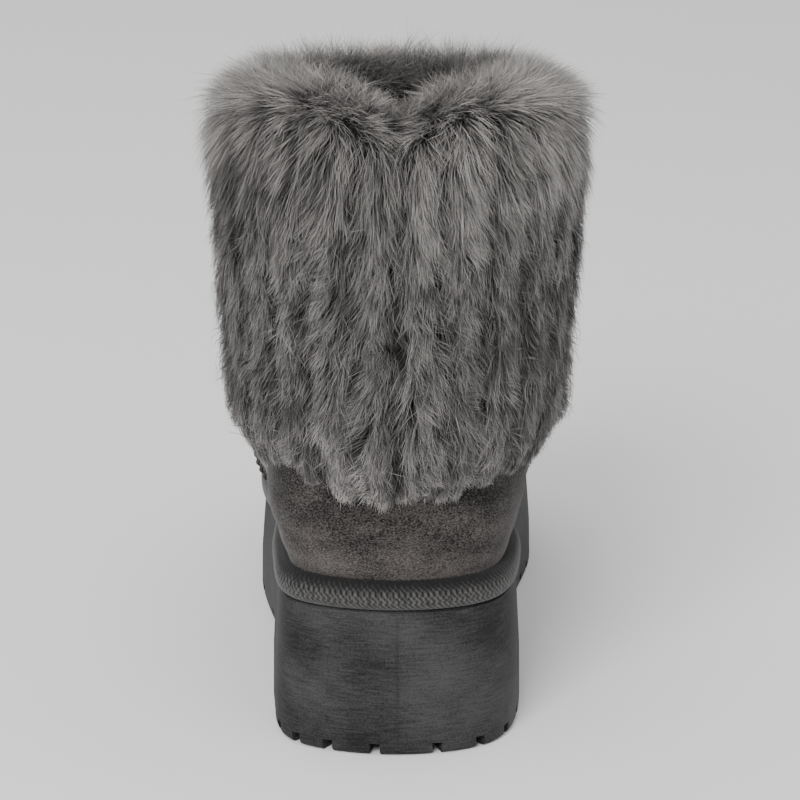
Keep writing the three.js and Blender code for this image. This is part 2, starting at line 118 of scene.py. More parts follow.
class BootSizes(PropertyGroup):
    """Sizes of the foot, the sole and the shaft."""

    ball_width: length("Ball width", "Width of the sole at the ball", 105 * MM)
    fore_height: length("Forefoot height", "Floor to the platform's top at the ball", 38 * MM)
    toe_rise: length("Toe rise", "How far the top edge climbs from the ball to the toe", 6 * MM)
    toe_spring: length("Toe spring", "How far the underside lifts at the toe", 9 * MM)
    wall_lean: length("Wall lean", "How far the sole's wall leans in", 2 * MM)
    arch_rise: length("Arch rise", "Hollow under the waist", 2.5 * MM)
    lug_depth: length("Lug depth", "Depth of the tread", 4 * MM)
    rim_lug: length("Rim lug width", "Edge of the sole to the channel", 15 * MM)
    channel: length("Channel width", "Width of the channel and the cross grooves", 5 * MM)
    notch: length("Notch width", "Width of the notches in the rim", 3.4 * MM)
    upper_wall: length("Upper wall", "Suede with its wool lining", 3.2 * MM)
    collar_rise: length("Collar rise", "Top of the sole to the collar at the back", 159 * MM)
    collar_slope: length("Collar slope", "How much lower the collar is in front", 12 * MM)
    collar_back: length("Collar back", "Heel's centre to the back of the collar", 40 * MM)
    collar_front: length("Collar front", "Heel's centre to the front of the collar", 78 * MM)
    collar_width: length("Collar width", "Width of the shaft", 91 * MM)
    ankle_width: length("Ankle width", "Widest place over the heel", 92 * MM)
    tape_height: length("Tape height", "Height of the woven tape", 10 * MM)
    tape_proud: length("Tape proud", "How far the tape stands out over the sole", 1.6 * MM)
    seam_width: length("Seam width", "Width of the raised side seam", 4.4 * MM)
    seam_height: length("Seam height", "How far the side seam stands out", 1.7 * MM)
    side_swell: length("Side swell", "Bulge of the suede over the waist", 7.5 * MM)
    stitch_pitch: length("Stitch pitch", "Spacing of the overlock stitches", 3.0 * MM)


class FurSizes(PropertyGroup):
    """Sizes of the pelt and its hair."""

    depth: length("Depth", "Shaft to the outside of the fur", 15.5 * MM)
    lip: length("Lip", "Lining to the inside of the fur at the collar", 11 * MM)
    crest: length("Crest", "How far the fur stands over the collar", 12 * MM)
    hem_rise: length("Hem rise", "Top of the sole to the fur's edge at the back", 41 * MM)
    strips: IntProperty(
        name="Strips", description="Upright strips of pelt round the shaft", default=26, min=6
    )
    relief: length("Strip relief", "Depth of the furrows between strips", 2.6 * MM)
    hair_length: length("Hair length", "Length of a hair on the outside", 13 * MM)
    rim_length: length("Rim hair length", "Length of a hair on the rim", 13 * MM)
    hair_width: length("Hair width", "Width of a drawn hair, coarser than a real one", 0.22 * MM)
    nap_turn: FloatProperty(
        name="Nap turn",
        description="How far the nap turns away from the back seam",
        default=math.radians(27),
        subtype="ANGLE",
    )
    outer_hairs: IntProperty(
        name="Outer hairs", description="Hairs in each quarter of the outside", default=28500
    )
    rim_hairs: IntProperty(name="Rim hairs", description="Hairs on the rim", default=38000)
    lining_hairs: IntProperty(
        name="Lining hairs", description="Hairs inside the collar", default=10000
    )


class BootColours(PropertyGroup):
    """Colours of the boot, as linear values made from sRGB hex."""

    foam: paint("Sole foam", "Moulded foam of the platform", "#272727")
    # The tape's colours also give its painted shade at the top and painted light on its lower band
    tape_dark: paint("Tape ground", "Grooves of the woven tape", "#0c0c0c")
    tape_light: paint("Tape rib", "Ribs of the woven tape", "#464544")
    # The suede's colours also give its painted shade up under the fur
    suede_dark: paint("Suede, dark", "Nap brushed away from the light", "#0c0b0a")
    suede_light: paint("Suede, light", "Nap brushed towards the light", "#5e5957")
    thread: paint("Seam thread", "Overlock thread of the side seam", "#262322")
    fleece: paint("Fleece", "Wool lining and insole", "#77716c")
    fur_root: paint("Fur root", "Underfur", "#121111")
    fur_middle: paint("Fur middle", "Middle of a hair", "#494746")
    fur_tip: paint("Fur tip", "Tip of a hair", "#a19e9b")
    floor: paint("Floor", "Studio floor and backdrop", "#f7f7f7")


class StageSettings(PropertyGroup):
    """Camera and light."""

    distance: length("Camera distance", "From the boot's middle", 0.9, high=10)
    elevation: FloatProperty(
        name="Camera elevation",
        description="Angle above the horizon",
        default=math.radians(16.8),
        subtype="ANGLE",
    )
    lens: FloatProperty(
        name="Lens", description="Focal length in millimetres on a 36 mm sensor", default=114.8
    )
    key_power: FloatProperty(name="Key light", description="Power of the large light", default=31.0)
    overhead: FloatProperty(name="Overhead", description="Light from straight above", default=1.2)
    horizon: FloatProperty(name="Horizon", description="Light from all round", default=0.2)


# Numbers and curves


def mix(a, b, share):
    """From a at a share of 0 to b at a share of 1."""
    return a + (b - a) * share


def clamp(v):
    """The value held between 0 and 1."""
    return np.clip(v, 0.0, 1.0)


def ease(v):
    """From 0 to 1 with a soft start and end."""
    t = clamp(v)
    return t * t * (3 - 2 * t)


def bell(v, spread):
    """1 at 0, and near 0 beyond twice the spread."""
    return np.exp(-((v / spread) ** 2))


def unit(v):
    """Vectors of length 1 along the last axis."""
    return v / np.maximum(np.linalg.norm(v, axis=-1, keepdims=True), 1e-12)


def run_along(rows):
    """The length run at each row of points, or of rings of points, from the first one."""
    steps = np.linalg.norm(np.diff(rows, axis=0), axis=-1)
    return np.concatenate([[0], np.cumsum(steps.reshape(len(steps), -1).mean(1))])


def column(table, name, place):
    """One column of a table at places from 0 to 1 along its rows, as a smooth curve."""
    values = np.array(table[name], float)
    last = len(values) - 1
    at = np.asarray(place, float) * last
    i = np.clip(np.floor(at).astype(int), 0, last - 1)
    t = at - i
    a, b, c, d = (values[np.clip(i + k, 0, last)] for k in (-1, 0, 1, 2))
    t2, t3 = t * t, t * t * t
    return (
        (2 * t3 - 3 * t2 + 1) * b
        + (t3 - 2 * t2 + t) * (c - a) / 2
        + (3 * t2 - 2 * t3) * c
        + (t3 - t2) * (d - b) / 2
    )


def smooth_noise(rng, shape, cells):
    """Noise over a closed turn and an open run, as soft as its few cells."""
    rows, turns = cells
    knots = rng.standard_normal((rows + 3, turns))
    r = np.linspace(0, rows, shape[0], endpoint=False)
    c = np.linspace(0, turns, shape[1], endpoint=False)
    ri, ci = r.astype(int), c.astype(int)
    rt, ct = ease(r - ri)[:, None], ease(c - ci)[None, :]
    top = mix(knots[ri][:, ci], knots[ri][:, (ci + 1) % turns], ct)
    low = mix(knots[ri + 1][:, ci], knots[ri + 1][:, (ci + 1) % turns], ct)
    return mix(top, low, rt)


# The plan of the left foot, from the back round by the outer side. heel_x and ball_x are shares of
# the half-widths, heel_y of the heel's half-width, fore_y of the forepart, and turn is the same
# point's place on an oval, in degrees.
FOOT = {
    "heel_x": (0, -0.82, -1, -0.44, 0, 0, 0, 0, 0, 0, 0, 0.36, 1, 0.78),
    "ball_x": (0, 0, 0, -0.48, -1, -0.9, -0.52, 0.09, 0.64, 0.94, 1, 0.46, 0, 0),
    "heel_y": (-1, -0.74, 0, 0, 0, 0, 0, 0, 0, 0, 0, 0, 0, -0.73),
    "fore_y": (0, 0, 0.01, 0.26, 0.53, 0.77, 0.945, 1, 0.94, 0.79, 0.62, 0.31, 0.03, 0),
    "turn": (0, 34, 64, 92, 118, 142, 163, 181, 199, 218, 240, 268, 298, 328),
}

# The upper, from the feather line to the collar. Rises are shares of the collar's, heel of the
# ankle's half-width, ball of the ball's half-width and front of the forepart.
UPPER = {
    "rise_back": (0.002, 0.061, 0.122, 0.187, 0.257, 0.337, 0.449, 0.608, 1.0),
    "rise_front": (0.002, 0.056, 0.122, 0.192, 0.281, 0.384, 0.533, 0.683, 0.973),
    "heel": (0.77, 0.82, 0.885, 0.945, 0.985, 1.0, 1.0, 1.0, 1.0),
    "ball": (0.867, 0.9, 0.905, 0.885, 0.85, 0.83, 0.82, 0.82, 0.82),
    "front": (0.969, 0.985, 0.972, 0.92, 0.81, 0.645, 0.48, 0.385, 0.35),
    "oval": (0, 0, 0, 0.06, 0.22, 0.5, 0.85, 1, 1),
    "shaft": (0, 0, 0, 0, 0, 0.05, 0.35, 0.7, 1),
}

# The outside of the fur, from its hem to its crest
FUR = {
    "rise": (0, 0.05, 0.13, 0.3, 0.5, 0.72, 0.88, 0.965, 1),
    "depth": (0.16, 0.42, 0.76, 0.85, 0.92, 1, 0.94, 0.68, -0.1),
}

# The inside of the fur's lip: millimetres under the crest, and shares of the lip's depth
LIP = {"drop": (62, 50, 36, 16, 6, 1), "depth": (0.5, 0.75, 1.0, 0.95, 0.5, 0.2)}

# The tape's section: shares of its height and of how far it stands out over the sole's edge
TAPE = {
    "rise": (0.03, 0.2, 0.5, 0.78, 0.95, 1.0),
    "proud": (0.1, 0.85, 1.0, 0.35, -1.3, -3.4),
}

# Soft creases of the suede, on the outer side at -1 and the inner side at 1: the middle, length,
# width and depth in millimetres, and the lean in degrees up from the toe's direction
CREASES = (
    {"side": -1, "y": 96, "z": 78, "lean": 62, "length": 26, "width": 5.0, "depth": 1.3},
    {"side": -1, "y": 116, "z": 66, "lean": 70, "length": 20, "width": 4.5, "depth": 0.9},
    {"side": 1, "y": 92, "z": 77, "lean": 60, "length": 27, "width": 5.0, "depth": 1.2},
    {"side": 1, "y": 114, "z": 65, "lean": 72, "length": 19, "width": 4.5, "depth": 0.9},
    {"side": -1, "y": 14, "z": 72, "lean": 12, "length": 22, "width": 4.0, "depth": 0.7},
    {"side": 1, "y": 6, "z": 74, "lean": 10, "length": 24, "width": 4.0, "depth": 0.8},
)
CREASE_BOW = 0.012


def spline_weights(turns, count):
    """How much each of `count` control points weighs at each turn of a closed spline."""
    at = (np.asarray(turns) % 1.0) * count
    first = np.floor(at).astype(int)
    t = at - first
    weights = np.zeros((len(at), count))
    parts = (
        -0.5 * t + t**2 - 0.5 * t**3,
        1 - 2.5 * t**2 + 1.5 * t**3,
        0.5 * t + 2 * t**2 - 1.5 * t**3,
        -0.5 * t**2 + 0.5 * t**3,
    )
    for step, part in zip((-1, 0, 1, 2), parts):
        np.add.at(weights, (np.arange(len(at)), (first + step) % count), part)
    return weights


def plan(turns, heel, ball, front, oval=0.0, half_width=0.0):
    """Outlines in plan, one row for each value of heel, ball and front."""
    heel, ball, front, oval = (np.atleast_1d(v)[:, None] for v in (heel, ball, front, oval))
    foot = {name: np.array(values, float)[None, :] for name, values in FOOT.items()}
    angle = np.radians(foot["turn"])
    foot_x = foot["heel_x"] * heel + foot["ball_x"] * ball
    foot_y = foot["heel_y"] * heel + foot["fore_y"] * front
    oval_x = -np.sin(angle) * half_width
    oval_y = (front - heel) / 2 - np.cos(angle) * (front + heel) / 2
    weights = spline_weights(turns, foot["turn"].shape[1])
    x = mix(foot_x, oval_x, oval) @ weights.T
    y = mix(foot_y, oval_y, oval) @ weights.T
    return x, y


def top_of_sole(sizes, y):
    """The height of the platform's top, which falls to the ball and climbs to the toe."""
    fall = (HEEL_HEIGHT - sizes.fore_height) * ease(y / (BALL * FOREPART))
    climb = sizes.toe_rise * clamp((y / FOREPART - 0.62) / 0.38) ** 2
    return HEEL_HEIGHT - fall + climb


def underside(sizes, y):
    """The height of the lugs' faces, hollow under the waist and lifted at the toe."""
    spring = sizes.toe_spring * clamp((y / FOREPART - 0.66) / 0.34) ** 2
    arch = sizes.arch_rise * ease(1 - np.abs(y / FOREPART - 0.24) / 0.16)
    return spring + arch


def seam_dip(x, y, height):
    """The dip of the collar at the back seam."""
    back = clamp(-y / HEEL + 0.2)
    return SEAM_DIP * bell(x, 13 * MM) * back * ease(height)


def sole_outline(sizes, turns, inset):
    """One outline of the sole's wall in plan, set in from its foot."""
    return plan(turns, HEEL - inset, sizes.ball_width / 2 - inset, FOREPART - inset)


def side_swell(sizes, x, y, z):
    """The bulge of the suede over the waist, where the side seams lie."""
    side = np.sign(x) * ease(np.abs(x) / (25 * MM))
    height = z - HEEL_HEIGHT - 21 * MM
    return side * sizes.side_swell * bell(y - 66 * MM, 24 * MM) * bell(height, 14 * MM)


def upper_surface(sizes, places, turns):
    """The upper's outside, at places from 0 at the feather line to 1 at the collar."""
    pick = {name: column(UPPER, name, places) for name in UPPER}
    shaft = ease(pick["shaft"])
    heel = mix(pick["heel"] * sizes.ankle_width / 2, sizes.collar_back, shaft)
    front = mix(pick["front"] * FOREPART, sizes.collar_front, shaft)
    ball, oval = pick["ball"] * sizes.ball_width / 2, clamp(pick["oval"])
    x, y = plan(turns, heel, ball, front, oval, sizes.collar_width / 2)
    along = (y + heel[:, None]) / (front + heel)[:, None]
    back_rise = (pick["rise_back"] * sizes.collar_rise)[:, None]
    front_rise = (pick["rise_front"] * sizes.collar_rise)[:, None]
    dip = seam_dip(x, y, ((places - 0.75) / 0.25)[:, None])
    z = top_of_sole(sizes, y) + mix(back_rise, front_rise, along) - dip
    return np.stack([x + side_swell(sizes, x, y, z), y, z], -1)


def outward(grid):
    """Unit normals of a grid of closed rings that go up."""
    around = np.roll(grid, -1, 1) - np.roll(grid, 1, 1)
    up = np.gradient(grid, axis=0)
    return unit(np.cross(up, around))


# Meshes and pieces


def ring_faces(rows, around, closed_rows=False):
    """Faces between closed rings of points, facing out where the rings go up."""
    last = rows if closed_rows else rows - 1
    r, i = np.meshgrid(np.arange(last), np.arange(around), indexing="ij")
    j, n = (i + 1) % around, (r + 1) % rows
    corners = (r * around + i, n * around + i, n * around + j, r * around + j)
    return np.stack(corners, -1).reshape(-1, 4)


def make_mesh(name, points, faces, smooth=True):
    """A mesh from arrays of points and of faces; faces is a list of arrays, one for each size."""
    mesh = bpy.data.meshes.new(name)
    points = np.asarray(points, np.float32).reshape(-1, 3)
    faces = [np.asarray(f, np.int32) for f in faces if len(f)]
    loops = np.concatenate([f.ravel() for f in faces])
    totals = np.concatenate([np.full(len(f), f.shape[1]) for f in faces])
    starts = np.concatenate([[0], np.cumsum(totals)[:-1]])
    mesh.vertices.add(len(points))
    mesh.vertices.foreach_set("co", points.ravel())
    mesh.loops.add(len(loops))
    mesh.loops.foreach_set("vertex_index", loops)
    mesh.polygons.add(len(totals))
    mesh.polygons.foreach_set("loop_start", starts.astype(np.int32))
    mesh.polygons.foreach_set("use_smooth", np.full(len(totals), smooth))
    mesh.update(calc_edges=True)
    return mesh


def add_object(name, data):
    """An object in the scene's own collection."""
    thing = bpy.data.objects.new(name, data)
    bpy.context.scene.collection.objects.link(thing)
    return thing


def add_piece(name, mesh, slot, *materials):
    """The mesh as a piece that rides on the boot, with the given materials; the slot is not used.
    """
    piece = add_object(name, mesh)
    for material in materials:
        mesh.materials.append(material)
    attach(piece, "root")
    return piece


def point_colours(mesh, name, values):
    """A colour for each point, read by the material of that piece."""
    layer = mesh.color_attributes.new(name, "FLOAT_COLOR", "POINT")
    full = np.ones((len(mesh.vertices), 4), np.float32)
    full[:, : values.shape[1]] = values
    layer.data.foreach_set("color", full.ravel())


def lay_map(mesh, name, points_uv):
    """A map of lengths along and across a piece, from one pair for each point."""
    layer = mesh.uv_layers.new(name=name)
    corners = np.empty(len(mesh.loops), np.int32)
    mesh.loops.foreach_get("vertex_index", corners)
    layer.data.foreach_set("uv", points_uv[corners].astype(np.float32).ravel())


# Materials


def new_material(name, **values):
    """A material with its shader, whose even values are set on the shader's own sockets."""
    material = bpy.data.materials.new(name)
    material.use_nodes = True
    shader = material.node_tree.nodes["Principled BSDF"]
    for socket, value in values.items():
        shader.inputs[socket.replace("_", " ")].default_value = value
    return material, material.node_tree, shader


def add_node(tree, kind, settings=None, links=None):
    """A node with its settings and input links. Stops are pairs of a place and a colour."""
    node = tree.nodes.new(kind)
    for name, value in (settings or {}).items():
        if name == "stops":
            elements = node.color_ramp.elements
            for number, (place, colour) in enumerate(value):
                stop = elements[number] if number < len(elements) else elements.new(place)
                stop.position, stop.color = place, colour
        elif hasattr(node, name) and name not in node.inputs:
            setattr(node, name, value)
        else:
            node.inputs[name].default_value = value
    for name, source in (links or {}).items():
        tree.links.new(source, node.inputs[name])
    return node


def join_shader(tree, shader, colour, bump=None):
    """Give the shader its colour, and its bump where it has one."""
    tree.links.new(colour, shader.inputs["Base Color"])
    if bump:
        tree.links.new(bump.outputs["Normal"], shader.inputs["Normal"])


def tinted(colour, amount=1.0):
    """A colour from the settings, made lighter or darker."""
    return (*[min(1.0, c * amount) for c in colour], 1.0)


def place_in_mm(tree, scale):
    """The piece's own coordinates, stretched by x, y and z scales that are given per millimetre."""
    where = add_node(tree, "ShaderNodeTexCoord")
    per_metre = tuple(1000 * s for s in scale)
    return add_node(
        tree, "ShaderNodeMapping", {"Scale": per_metre}, {"Vector": where.outputs["Object"]}
    ).outputs["Vector"]


def foam_material(colours):
    """Moulded EVA foam: dull, faintly streaked along the wall where the mould was machined."""
    material, tree, shader = new_material(
        "moulded EVA foam", Roughness=0.72, Specular_IOR_Level=0.35
    )
    # The tool's streaks are about 6 mm long and 0.5 mm high
    streaks = add_node(
        tree,
        "ShaderNodeTexNoise",
        {"Scale": 1.0, "Detail": 4.0, "Roughness": 0.65},
        {"Vector": place_in_mm(tree, (0.16, 0.16, 2.2))},
    )
    # Real pores are finer than 0.2 mm. They are drawn 0.6 mm wide, so that they show
    pores = add_node(
        tree,
        "ShaderNodeTexNoise",
        {"Scale": 1.0, "Detail": 3.0, "Roughness": 0.7},
        {"Vector": place_in_mm(tree, (1.6, 1.6, 1.6))},
    )
    # Handling leaves the wall clouded over about 30 mm
    cloud = add_node(
        tree,
        "ShaderNodeTexNoise",
        {"Scale": 1.0, "Detail": 2.0},
        {"Vector": place_in_mm(tree, (0.03, 0.03, 0.035))},
    )
    grain = add_node(
        tree,
        "ShaderNodeMix",
        {"data_type": "FLOAT", "Factor": 0.5},
        {"A": streaks.outputs["Fac"], "B": pores.outputs["Fac"]},
    )
    tone = add_node(
        tree,
        "ShaderNodeMix",
        {"data_type": "FLOAT", "Factor": 0.38},
        {"A": grain.outputs["Result"], "B": cloud.outputs["Fac"]},
    )
    ramp = add_node(
        tree,
        "ShaderNodeValToRGB",
        {"stops": ((0.42, tinted(colours.foam, 0.15)), (0.59, tinted(colours.foam, 2.3)))},
        {"Fac": tone.outputs["Result"]},
    )
    bump = add_node(
        tree,
        "ShaderNodeBump",
        {"Strength": 0.55, "Distance": 0.25 * MM},
        {"Height": grain.outputs["Result"]},
    )
    join_shader(tree, shader, ramp.outputs["Color"], bump)
    return material


def suede_material(colours):
    """Split suede: a short nap in soft patches, light where brushed up and dark where down."""
    material, tree, shader = new_material(
        "brushed suede",
        Roughness=0.92,
        Specular_IOR_Level=0.2,
        Sheen_Weight=0.12,
        Sheen_Roughness=0.4,
    )
    # Brushed patches are about 17 mm wide and 9 mm high
    patches = add_node(
        tree,
        "ShaderNodeTexNoise",
        {"Scale": 1.0, "Detail": 4.0, "Roughness": 0.6},
        {"Vector": place_in_mm(tree, (0.06, 0.06, 0.11))},
    )
    # A real nap is finer than 0.3 mm. It is drawn 0.5 to 0.7 mm wide, so that it shows
    nap = add_node(
        tree,
        "ShaderNodeTexNoise",
        {"Scale": 1.0, "Detail": 2.0, "Roughness": 0.7},
        {"Vector": place_in_mm(tree, (1.5, 1.5, 2.0))},
    )
    both = add_node(
        tree,
        "ShaderNodeMix",
        {"data_type": "FLOAT", "Factor": 0.68},
        {"A": patches.outputs["Fac"], "B": nap.outputs["Fac"]},
    )
    # Painted shade: the suede is painted darker up under the fur, for the fur's shadow, and a
    # little lighter low down
    where = add_node(tree, "ShaderNodeTexCoord")
    parts = add_node(tree, "ShaderNodeSeparateXYZ", {}, {"Vector": where.outputs["Object"]})
    painted_shade_under_fur = add_node(
        tree,
        "ShaderNodeMapRange",
        {
            "interpolation_type": "SMOOTHSTEP",
            "From Min": HEEL_HEIGHT + 12 * MM,
            "From Max": HEEL_HEIGHT + 34 * MM,
            "To Min": 0.03,
            "To Max": -0.05,
        },
        {"Value": parts.outputs["Z"]},
    )
    tone = add_node(
        tree,
        "ShaderNodeMath",
        {"operation": "ADD"},
        {0: both.outputs["Result"], 1: painted_shade_under_fur.outputs["Result"]},
    )
    ramp = add_node(
        tree,
        "ShaderNodeValToRGB",
        {"stops": ((0.38, tinted(colours.suede_dark)), (0.64, tinted(colours.suede_light)))},
        {"Fac": tone.outputs["Value"]},
    )
    bump = add_node(
        tree,
        "ShaderNodeBump",
        {"Strength": 0.5, "Distance": 0.4 * MM},
        {"Height": nap.outputs["Fac"]},
    )
    join_shader(tree, shader, ramp.outputs["Color"], bump)
    return material


def fleece_material(colours):
    """Knitted wool fleece: curly pile in small tufts."""
    material, tree, shader = new_material(
        "wool fleece", Roughness=1.0, Specular_IOR_Level=0.1, Sheen_Weight=0.4
    )
    # Tufts are about 2 mm across
    tufts = add_node(
        tree,
        "ShaderNodeTexVoronoi",
        {"Scale": 1.0, "Randomness": 1.0},
        {"Vector": place_in_mm(tree, (0.45, 0.45, 0.45))},
    )
    ramp = add_node(
        tree,
        "ShaderNodeValToRGB",
        {"stops": ((0.0, tinted(colours.fleece, 1.2)), (1.0, tinted(colours.fleece, 0.4)))},
        {"Fac": tufts.outputs["Distance"]},
    )
    bump = add_node(
        tree,
        "ShaderNodeBump",
        {"Strength": 0.8, "Distance": 1.0 * MM, "invert": True},
        {"Height": tufts.outputs["Distance"]},
    )
    join_shader(tree, shader, ramp.outputs["Color"], bump)
    return material


def tape_material(colours):
    """Woven polyester tape: its ribs are modelled; this gives the yarn's flecks and painted light
    and shade.
    """
    material, tree, shader = new_material(
        "herringbone woven tape", Roughness=0.8, Specular_IOR_Level=0.3, Sheen_Weight=0.15
    )
    # The attribute holds the ribs, the flecks and the painted light and shade across the tape
    weave_and_painted_light = add_node(tree, "ShaderNodeAttribute", {"attribute_name": "weave_and_painted_light"})
    parts = add_node(tree, "ShaderNodeSeparateColor", {}, {"Color": weave_and_painted_light.outputs["Color"]})
    # Flecks are about as wide as a yarn, 0.5 mm
    flecks = add_node(
        tree,
        "ShaderNodeTexNoise",
        {"Scale": 1.0, "Detail": 2.0, "Roughness": 0.8},
        {"Vector": place_in_mm(tree, (1.8, 1.8, 1.8))},
    )
    lit = add_node(
        tree,
        "ShaderNodeMath",
        {"operation": "MULTIPLY", "use_clamp": True},
        {0: parts.outputs["Red"], 1: flecks.outputs["Fac"]},
    )
    ramp = add_node(
        tree,
        "ShaderNodeValToRGB",
        {"stops": ((0.1, tinted(colours.tape_dark)), (0.62, tinted(colours.tape_light, 1.3)))},
        {"Fac": lit.outputs["Value"]},
    )
    join_shader(tree, shader, ramp.outputs["Color"])
    return material


def thread_material(colours):
    """Bonded nylon thread: round, slightly glossy."""
    material, tree, shader = new_material("bonded nylon thread", Roughness=0.5)
    # The twist repeats about every 0.4 mm
    twist = add_node(
        tree,
        "ShaderNodeTexNoise",
        {"Scale": 1.0, "Detail": 2.0},
        {"Vector": place_in_mm(tree, (2.5, 2.5, 2.5))},
    )
    ramp = add_node(
        tree,
        "ShaderNodeValToRGB",
        {"stops": ((0.0, tinted(colours.thread, 0.6)), (1.0, tinted(colours.thread, 1.7)))},
        {"Fac": twist.outputs["Fac"]},
    )
    join_shader(tree, shader, ramp.outputs["Color"])
    return material


def fur_material(colours):
    """Long modacrylic pile: dark at the root, greyer in the middle, pale and dry at the tip."""
    material, tree, shader = new_material("long pile fur", Roughness=0.62, Specular_IOR_Level=0.3)
    # Red holds the place along a hair, and green how light the whole hair is, painted light and
    # shade included
    hair = add_node(tree, "ShaderNodeAttribute", {"attribute_name": "hair"})
    parts = add_node(tree, "ShaderNodeSeparateColor", {}, {"Color": hair.outputs["Color"]})
    root, middle, tip = (tinted(c) for c in (colours.fur_root, colours.fur_middle, colours.fur_tip))
    ramp = add_node(
        tree,
        "ShaderNodeValToRGB",
        {"stops": ((0.05, root), (0.6, middle), (1.0, tip))},
        {"Fac": parts.outputs["Red"]},
    )
    green = parts.outputs["Green"]
    grey = add_node(
        tree, "ShaderNodeCombineColor", {}, {"Red": green, "Green": green, "Blue": green}
    )
    toned = add_node(
        tree,
        "ShaderNodeMix",
        {"data_type": "RGBA", "blend_type": "MULTIPLY", "Factor": 1.0},
        {6: ramp.outputs["Color"], 7: grey.outputs["Color"]},
    )
    join_shader(tree, shader, toned.outputs[2])
    return material


def floor_material(colours):
    """Painted studio floor: matt, with a trace of unevenness over about 250 mm."""
    material, tree, shader = new_material("matt studio paint", Roughness=0.9)
    shade = add_node(
        tree,
        "ShaderNodeTexNoise",
        {"Scale": 1.0, "Detail": 2.0},
        {"Vector": place_in_mm(tree, (0.004, 0.004, 0.004))},
    )
    ramp = add_node(
        tree,
        "ShaderNodeValToRGB",
        {"stops": ((0.0, tinted(colours.floor, 0.98)), (1.0, tinted(colours.floor, 1.02)))},
        {"Fac": shade.outputs["Fac"]},
    )
    join_shader(tree, shader, ramp.outputs["Color"])
    return material


# Sole

# The wall's section: shares of its height, and millimetres that it stands in from its edge
SOLE_WALL = {
    "share": (0.0, 0.012, 0.035, 0.4, 0.94, 0.985, 1.0),
    "inset": (1.3, 0.45, 0.0, 0.3, 1.9, 2.3, 3.2),
}

# Notches in the rim, in degrees from straight back, positive to the outer side. Those of the
# forefoot point at one centre on it. The centre, the sides' notches and the grooves across are
# placed by their share of the forepart
HEEL_NOTCHES = (10, 31, 46, 60, 78, -18, -38, -55, -74)
FORE_NOTCHES = (62, 76, 92, 110, 130, 152, 174, -164, -142, -122, -104, -88, -72)
SIDE_NOTCHES = ((0.14, 90), (0.24, 90), (0.34, 90), (0.16, -90), (0.28, -90))
CROSS_GROOVES = (0.1, 0.22, 0.32, 0.43, 0.54, 0.65, 0.76)
FORE_CENTRE = 0.58


def sole_ring(sizes, turns, inset, share, lift=0.0):
    """A ring set in from the sole's edge, at a share of the sole's height and lifted from there."""
    x, y = sole_outline(sizes, turns, inset)
    z = mix(underside(sizes, y), top_of_sole(sizes, y), share) + lift
    return np.stack([x, y, z], -1)[0]


def sole_body(sizes, around=420):
    """The platform before its tread is cut."""
    turns = np.arange(around) / around
    wall = zip(SOLE_WALL["inset"], SOLE_WALL["share"])
    rows = [sole_ring(sizes, turns, inset * MM, share) for inset, share in wall]
    half = around // 2
    left, right = np.arange(1, half), around - np.arange(1, half)
    ladder = [(left[k], right[k], right[k + 1], left[k + 1]) for k in range(len(left) - 1)]
    ends = [(0, around - 1, 1), (half - 1, half + 1, half)]
    top = (len(rows) - 1) * around
    faces = [ring_faces(len(rows), around)]
    for cap in (ladder, ends):
        faces += [np.array(cap), np.array([[top + v for v in reversed(f)] for f in cap])]
    return make_mesh("platform", np.array(rows), faces)


def bar_mesh(name, width, span, height, shift=(0.0, 0.0)):
    """A bar that runs along -Y from the origin, or from a place shifted in x and y."""
    bm = bmesh.new()
    bmesh.ops.create_cube(bm, size=1.0)
    for v in bm.verts:
        x, y = v.co.x * width + shift[0], (v.co.y - 0.5) * span + shift[1]
        v.co = Vector((x, y, v.co.z * height))
    mesh = bpy.data.meshes.new(name)
    bm.to_mesh(mesh)
    bm.free()
    return mesh


def channel_mesh(sizes, around=140):
    """The cutter of the channel that runs round inside the rim's lugs."""
    turns = np.arange(around) / around
    low, high = -sizes.lug_depth, sizes.lug_depth
    near, far = sizes.rim_lug, sizes.rim_lug + sizes.channel
    section = ((near, low), (near, high), (far, high), (far, low))
    rows = [sole_ring(sizes, turns, inset, 0.0, lift) for inset, lift in section]
    return make_mesh("channel", np.array(rows), [ring_faces(4, around, closed_rows=True)])


def tread_cutters(sizes):
    """Meshes, turns and places of all that is cut from the underside."""
    depth = 2 * sizes.lug_depth
    beyond = 40 * MM
    to_channel = sizes.rim_lug + sizes.channel / 2
    cutters = [(channel_mesh(sizes), 0.0, Vector((0, 0, 0)))]

    def notch(centre, angle, reach):
        start = (0.0, to_channel - reach)
        bar = bar_mesh("notch", sizes.notch, sizes.rim_lug + beyond, depth, start)
        tip_y = centre - reach * math.cos(math.radians(angle))
        lift = float(underside(sizes, np.array(tip_y)))
        cutters.append((bar, -math.radians(angle), Vector((0, centre, lift))))

    for angle in HEEL_NOTCHES:
        notch(0.0, angle, HEEL)
    for angle in FORE_NOTCHES:
        notch(FORE_CENTRE * FOREPART, angle, sizes.ball_width / 2)
    for share, angle in SIDE_NOTCHES:
        notch(share * FOREPART, angle, sizes.ball_width / 2)
    x, outline_y = sole_outline(sizes, np.arange(280) / 280, to_channel)
    for share in CROSS_GROOVES:
        y = share * FOREPART
        near = np.abs(outline_y[0] - y) < 3 * MM
        low, high = x[0][near].min(), x[0][near].max()
        start = ((high + low) / 2, sizes.channel / 2)
        bar = bar_mesh("groove", high - low, sizes.channel, depth, start)
        cutters.append((bar, 0.0, Vector((0, y, float(underside(sizes, np.array(y)))))))
    return cutters


